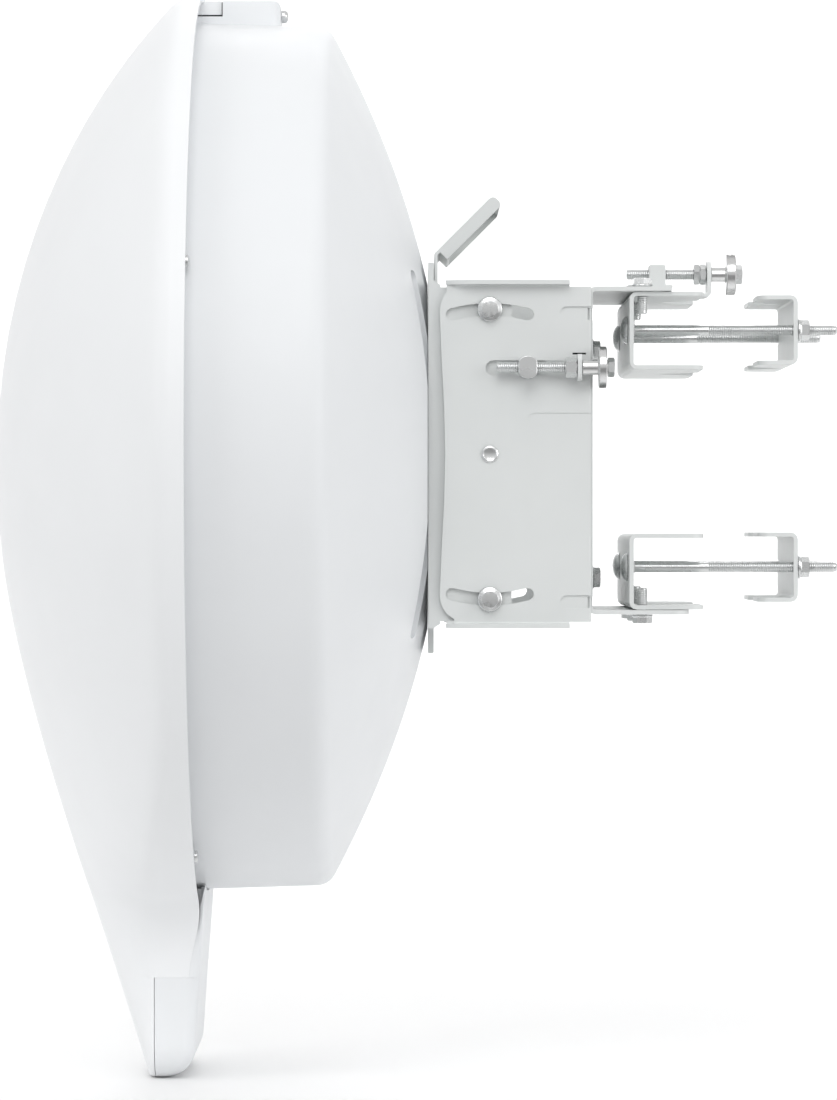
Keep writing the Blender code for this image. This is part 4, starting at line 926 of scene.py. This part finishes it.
def build_wheel(node):
    """Knurled wheel with its plain sleeve."""
    start, end = low(node).x, high(node).x
    centre = (middle(node).y, middle(node).z)
    radius = (high(node).y - low(node).y) / 2
    face = end - WHEEL_WIDTH[node]
    bore = THREAD + GAP
    width = end - face - 1.0
    rim = [(face + 0.5 + width * row / KNURL_ROWS, radius) for row in range(KNURL_ROWS + 1)]
    profile = [(start, bore), (start, 3.8), (start + 0.3, 4.1), (face - 0.5, 4.1), (face, 4.6),
               (face, radius - 0.9)] + rim + [(end, radius - 0.9), (end, 6.2), (end - 0.4, 5.8),
                                              (end - 0.4, bore)]
    first = 6                                  # place of the rim's first ring in the profile
    wheel = lathe(profile, "X", centre, 2 * WHEEL_TEETH,
                  knurled=range(first, first + KNURL_ROWS + 1), depth=KNURL_DEPTH)
    smooth_by_angle(wheel, 25)
    stand_for(wheel, node)


def build_collar(node, nuts):
    """Lock nuts side by side on the adjusting screw."""
    start, end = low(node).x, high(node).x
    centre = (middle(node).y, middle(node).z)
    height = (end - start) / nuts
    collar = None
    for index in range(nuts):
        nut = hexagon_solid(9.6, -height, 0, chamfer_both=True)
        nut.data.transform(Matrix.Translation(((end - index * height * 0.999) * MM, centre[0] * MM,
                                               centre[1] * MM))
                           @ Matrix.Rotation(math.pi / 2, 4, "Y")
                           @ Matrix.Rotation(0.3 * index, 4, "Z"))
        collar = nut if collar is None else join(collar, nut)
    cut(collar, tube(THREAD + GAP, "X", start - 3, end + 3, centre, 40))
    stand_for(collar, node)


def build_adjusters():
    for name in ("elevation", "azimuth"):
        build_screw(name + "_screw", 3.7)
        build_wheel(name + "_wheel")
    build_collar("elevation_collar", 1)
    build_collar("azimuth_collar", 2)
    stand_for(refined("barrel_nut", 0.7), "barrel_nut")
    stand_for(refined("azimuth_nut_block", 0.5), "azimuth_nut_block")


# ---------------------------------------------------------------- sheet metal
PLATE_SHOULDER = 92.8
BRACKET_SHEET = 2.3
PRESS_DEPTH = 1.0
LIP_TIP = -150.4
PRESS_HEIGHTS = (75.2, -78.6)                  # middles of the pressed recesses
PRESS_START_X = -86.0
PRESS_END_X = -72.9
PRESS_HALF = 3.5
SLIT_X = (-83.0, -75.8)                        # slit over the bearing tab
SLIT_Z = (53.1, 54.1)
PLATE_SCREW_Y = 52
PLATE_SCREW_Z = 45


def box(corner, opposite):
    (x0, y0, z0), (x1, y1, z1) = corner, opposite
    return prism([(x0, y0), (x1, y0), (x1, y1), (x0, y1)], "Z", *sorted((z0, z1)))


def build_mount_plate():
    """The channel behind the dish, with tight outer bends."""
    plate = cleaned("mount_plate")
    front, side_y, bend_size = low("mount_plate").x, high("mount_plate").y, 3.2
    for side in (-1, 1):
        near, far = sorted((side * side_y, side * (side_y - bend_size)))
        join(plate, box((front, near, -PLATE_SHOULDER), (front + bend_size, far, PLATE_SHOULDER)))
    stand_for(soften(plate, 0.6, 3), "mount_plate")


def build_elevation_bracket():
    """The tilt channel with its pressed recesses and the slot over its bearing tab."""
    bracket = cleaned("elevation_bracket")
    outside = low("mount_plate").y - GAP - BRACKET_SHEET
    inside = outside + BRACKET_SHEET
    top = high("elevation_bracket").z
    for side in (-1, 1):
        skin = side * abs(outside)
        shallow = sorted((skin - side * PRESS_DEPTH, skin + side))
        for z in PRESS_HEIGHTS:
            stadium = circle((PRESS_START_X, z), PRESS_HALF, 24)[6:19]
            stadium += [(PRESS_END_X, z - PRESS_HALF), (PRESS_END_X, z + PRESS_HALF)]
            cut(bracket, prism(stadium, "Y", *shallow))
        sheet = sorted((skin - side * 0.05, side * (abs(inside) + 0.05)))
        for z in (-1, 1):
            join(bracket, box((LIP_TIP + 0.3, sheet[0], z * (top - 3.9)),
                              (LIP_TIP + 14.0, sheet[1], z * (top - 0.9))))
    cut(bracket, box((SLIT_X[0], outside - 1, SLIT_Z[0]), (SLIT_X[1], inside + 1, SLIT_Z[1])))
    stand_for(soften(bracket, 0.4), "elevation_bracket")
    # painted shade: a thin black strip behind the slit makes it read as a deep dark gap
    strip = box((-83.4, inside + 0.05, 52.6), (-75.4, inside + 0.25, 54.6))
    add_on(strip, "bearing_slit_painted_shade", "rubber", "azimuth_frame")


def build_sheet_metal():
    build_mount_plate()
    build_elevation_bracket()
    for node in ("carry_handle", "azimuth_bracket", "upper_inner_clamp", "lower_inner_clamp",
                 "upper_outer_clamp", "lower_outer_clamp"):
        stand_for(refined(node, 0.4), node)


def build_plate_screws():
    """Countersunk screws that hold the mount plate on the drum's boss."""
    front = low("mount_plate").x - 0.7
    for number, (y, z) in enumerate((y, z) for y in (-PLATE_SCREW_Y, PLATE_SCREW_Y)
                                   for z in (-PLATE_SCREW_Z, PLATE_SCREW_Z)):
        screw = lathe([(front + 0.2, 0), (front + 0.2, 2.5), (front + 2.4, 2.5), (front + 2.6, 4.6),
                       (front + 3.8, 4.2), (front + 4.6, 2.8), (front + 4.8, 0)], "X", (y, z), 32)
        cut(screw, prism(circle((y, z), 1.5, 6), "X", front + 3.2, front + 6))
        add_on(screw, "plate_screw_" + str(number + 1), "zinc", "dish")


# ---------------------------------------------------------------- stage
STAGE_WHITE = 0.93
FRONT_FLOOR_GREY = 0.20
ROOM_LIGHT = 0.76
CAMERA_SIDE_SHARE = 0.84
FRONT_POWER = 14.0
SIDE_POWER = 17.0
KEY_POWER = 12.0
BACKDROP_POWER = 50.0
CAMERA_DISTANCE = 2.5
CAMERA_X = -0.165
CAMERA_Z = -0.0425
CAMERA_SHIFT = -0.0145
FRAME_HEIGHT = 0.605                           # metres seen at the object's middle
SENSOR = 36.0


def backdrop_paper():
    """White paper that turns to mid grey in front of the object."""
    shader = Shader("backdrop_paper", 0.5)
    split = shader.tree.nodes.new("ShaderNodeSeparateXYZ")
    shader.tree.links.new(shader.place, split.inputs["Vector"])
    depth = shader.tree.nodes.new("ShaderNodeMapRange")
    depth.interpolation_type = "SMOOTHSTEP"
    depth.inputs["From Min"].default_value = -0.9
    depth.inputs["From Max"].default_value = -0.1
    shader.tree.links.new(split.outputs["Y"], depth.inputs["Value"])
    ramp = shader.tree.nodes.new("ShaderNodeValToRGB")
    ramp.color_ramp.elements[0].color = (FRONT_FLOOR_GREY, FRONT_FLOOR_GREY, FRONT_FLOOR_GREY, 1)
    ramp.color_ramp.elements[1].color = (STAGE_WHITE, STAGE_WHITE, STAGE_WHITE, 1)
    shader.tree.links.new(depth.outputs["Result"], ramp.inputs["Fac"])
    shader.tree.links.new(ramp.outputs["Color"], shader.shader.inputs["Base Color"])
    return shader.material


def build_stage():
    """Floor that sweeps up into a wall behind the object."""
    reach, turn_start, turn_radius, wall_top = 6.0, 2.4, 1.5, 6.0
    floor_z = FOOT_Z * MM - 0.0004
    profile = [(-4.5, 0.0), (turn_start, 0.0)]
    profile += [(turn_start + turn_radius * math.sin(angle), turn_radius * (1 - math.cos(angle)))
                for angle in [math.pi / 2 * step / 16 for step in range(1, 17)]]
    profile.append((turn_start + turn_radius, wall_top))
    bm = bmesh.new()
    rows = [[bm.verts.new((x, y, floor_z + z)) for x in (-reach, reach)] for y, z in profile]
    for row, following in zip(rows, rows[1:]):
        bm.faces.new((row[0], row[1], following[1], following[0]))
    sweep = make_object("backdrop", bm)
    sweep.data.materials.append(backdrop_paper())


def add_light(name, location, target, size, power):
    data = bpy.data.lights.new(name, "AREA")
    data.shape = "SQUARE"
    data.size = size
    data.energy = power
    light = bpy.data.objects.new(name, data)
    light.location = location
    light.rotation_euler = (Vector(target) - Vector(location)).to_track_quat("-Z", "Y").to_euler()
    bpy.context.scene.collection.objects.link(light)


def studio_world():
    """White room, dimmer on the camera's side so that metal reads crisp."""
    world = bpy.data.worlds.new("studio")
    world.use_nodes = True
    nodes, links = world.node_tree.nodes, world.node_tree.links
    background = nodes["Background"]
    background.inputs["Color"].default_value = (1.0, 1.0, 1.0, 1)
    split = nodes.new("ShaderNodeSeparateXYZ")
    links.new(nodes.new("ShaderNodeTexCoord").outputs["Generated"], split.inputs["Vector"])
    level = nodes.new("ShaderNodeMapRange")
    level.interpolation_type = "SMOOTHSTEP"
    level.inputs["From Min"].default_value = -0.98
    level.inputs["From Max"].default_value = -0.72
    level.inputs["To Min"].default_value = ROOM_LIGHT * CAMERA_SIDE_SHARE
    level.inputs["To Max"].default_value = ROOM_LIGHT
    links.new(split.outputs["Y"], level.inputs["Value"])
    links.new(level.outputs["Result"], background.inputs["Strength"])
    bpy.context.scene.world = world


def light_and_camera():
    scene = bpy.context.scene
    scene.view_settings.view_transform = "Standard"
    studio_world()
    centre = (-0.15, 0, -0.04)
    add_light("front", (-2.6, -1.4, 0.9), centre, 1.4, FRONT_POWER)
    add_light("key", (-0.2, -1.7, 1.25), centre, 1.2, KEY_POWER)
    add_light("side", (2.2, -1.7, 0.5), centre, 1.4, SIDE_POWER)
    add_light("backdrop_wash", (0.0, 2.6, 2.6), (0.0, 4.2, 0.2), 2.4, BACKDROP_POWER)

    camera = bpy.data.cameras.new("camera")
    camera.sensor_width = SENSOR
    camera.lens = SENSOR * CAMERA_DISTANCE / FRAME_HEIGHT
    camera.shift_y = CAMERA_SHIFT
    obj = bpy.data.objects.new("camera", camera)
    obj.location = (CAMERA_X, -CAMERA_DISTANCE, CAMERA_Z)
    obj.rotation_euler = (math.pi / 2, 0, 0)
    scene.collection.objects.link(obj)
    scene.camera = obj


light_and_camera()
build_stage()
dress_frame()
build_radome()
build_rear_housing()
build_rim_screws()
build_tail()
build_latch()
build_bolts()
build_pole_bolts()
build_flange_nuts()
build_pivot_pins()
build_adjusters()
build_sheet_metal()
build_plate_screws()
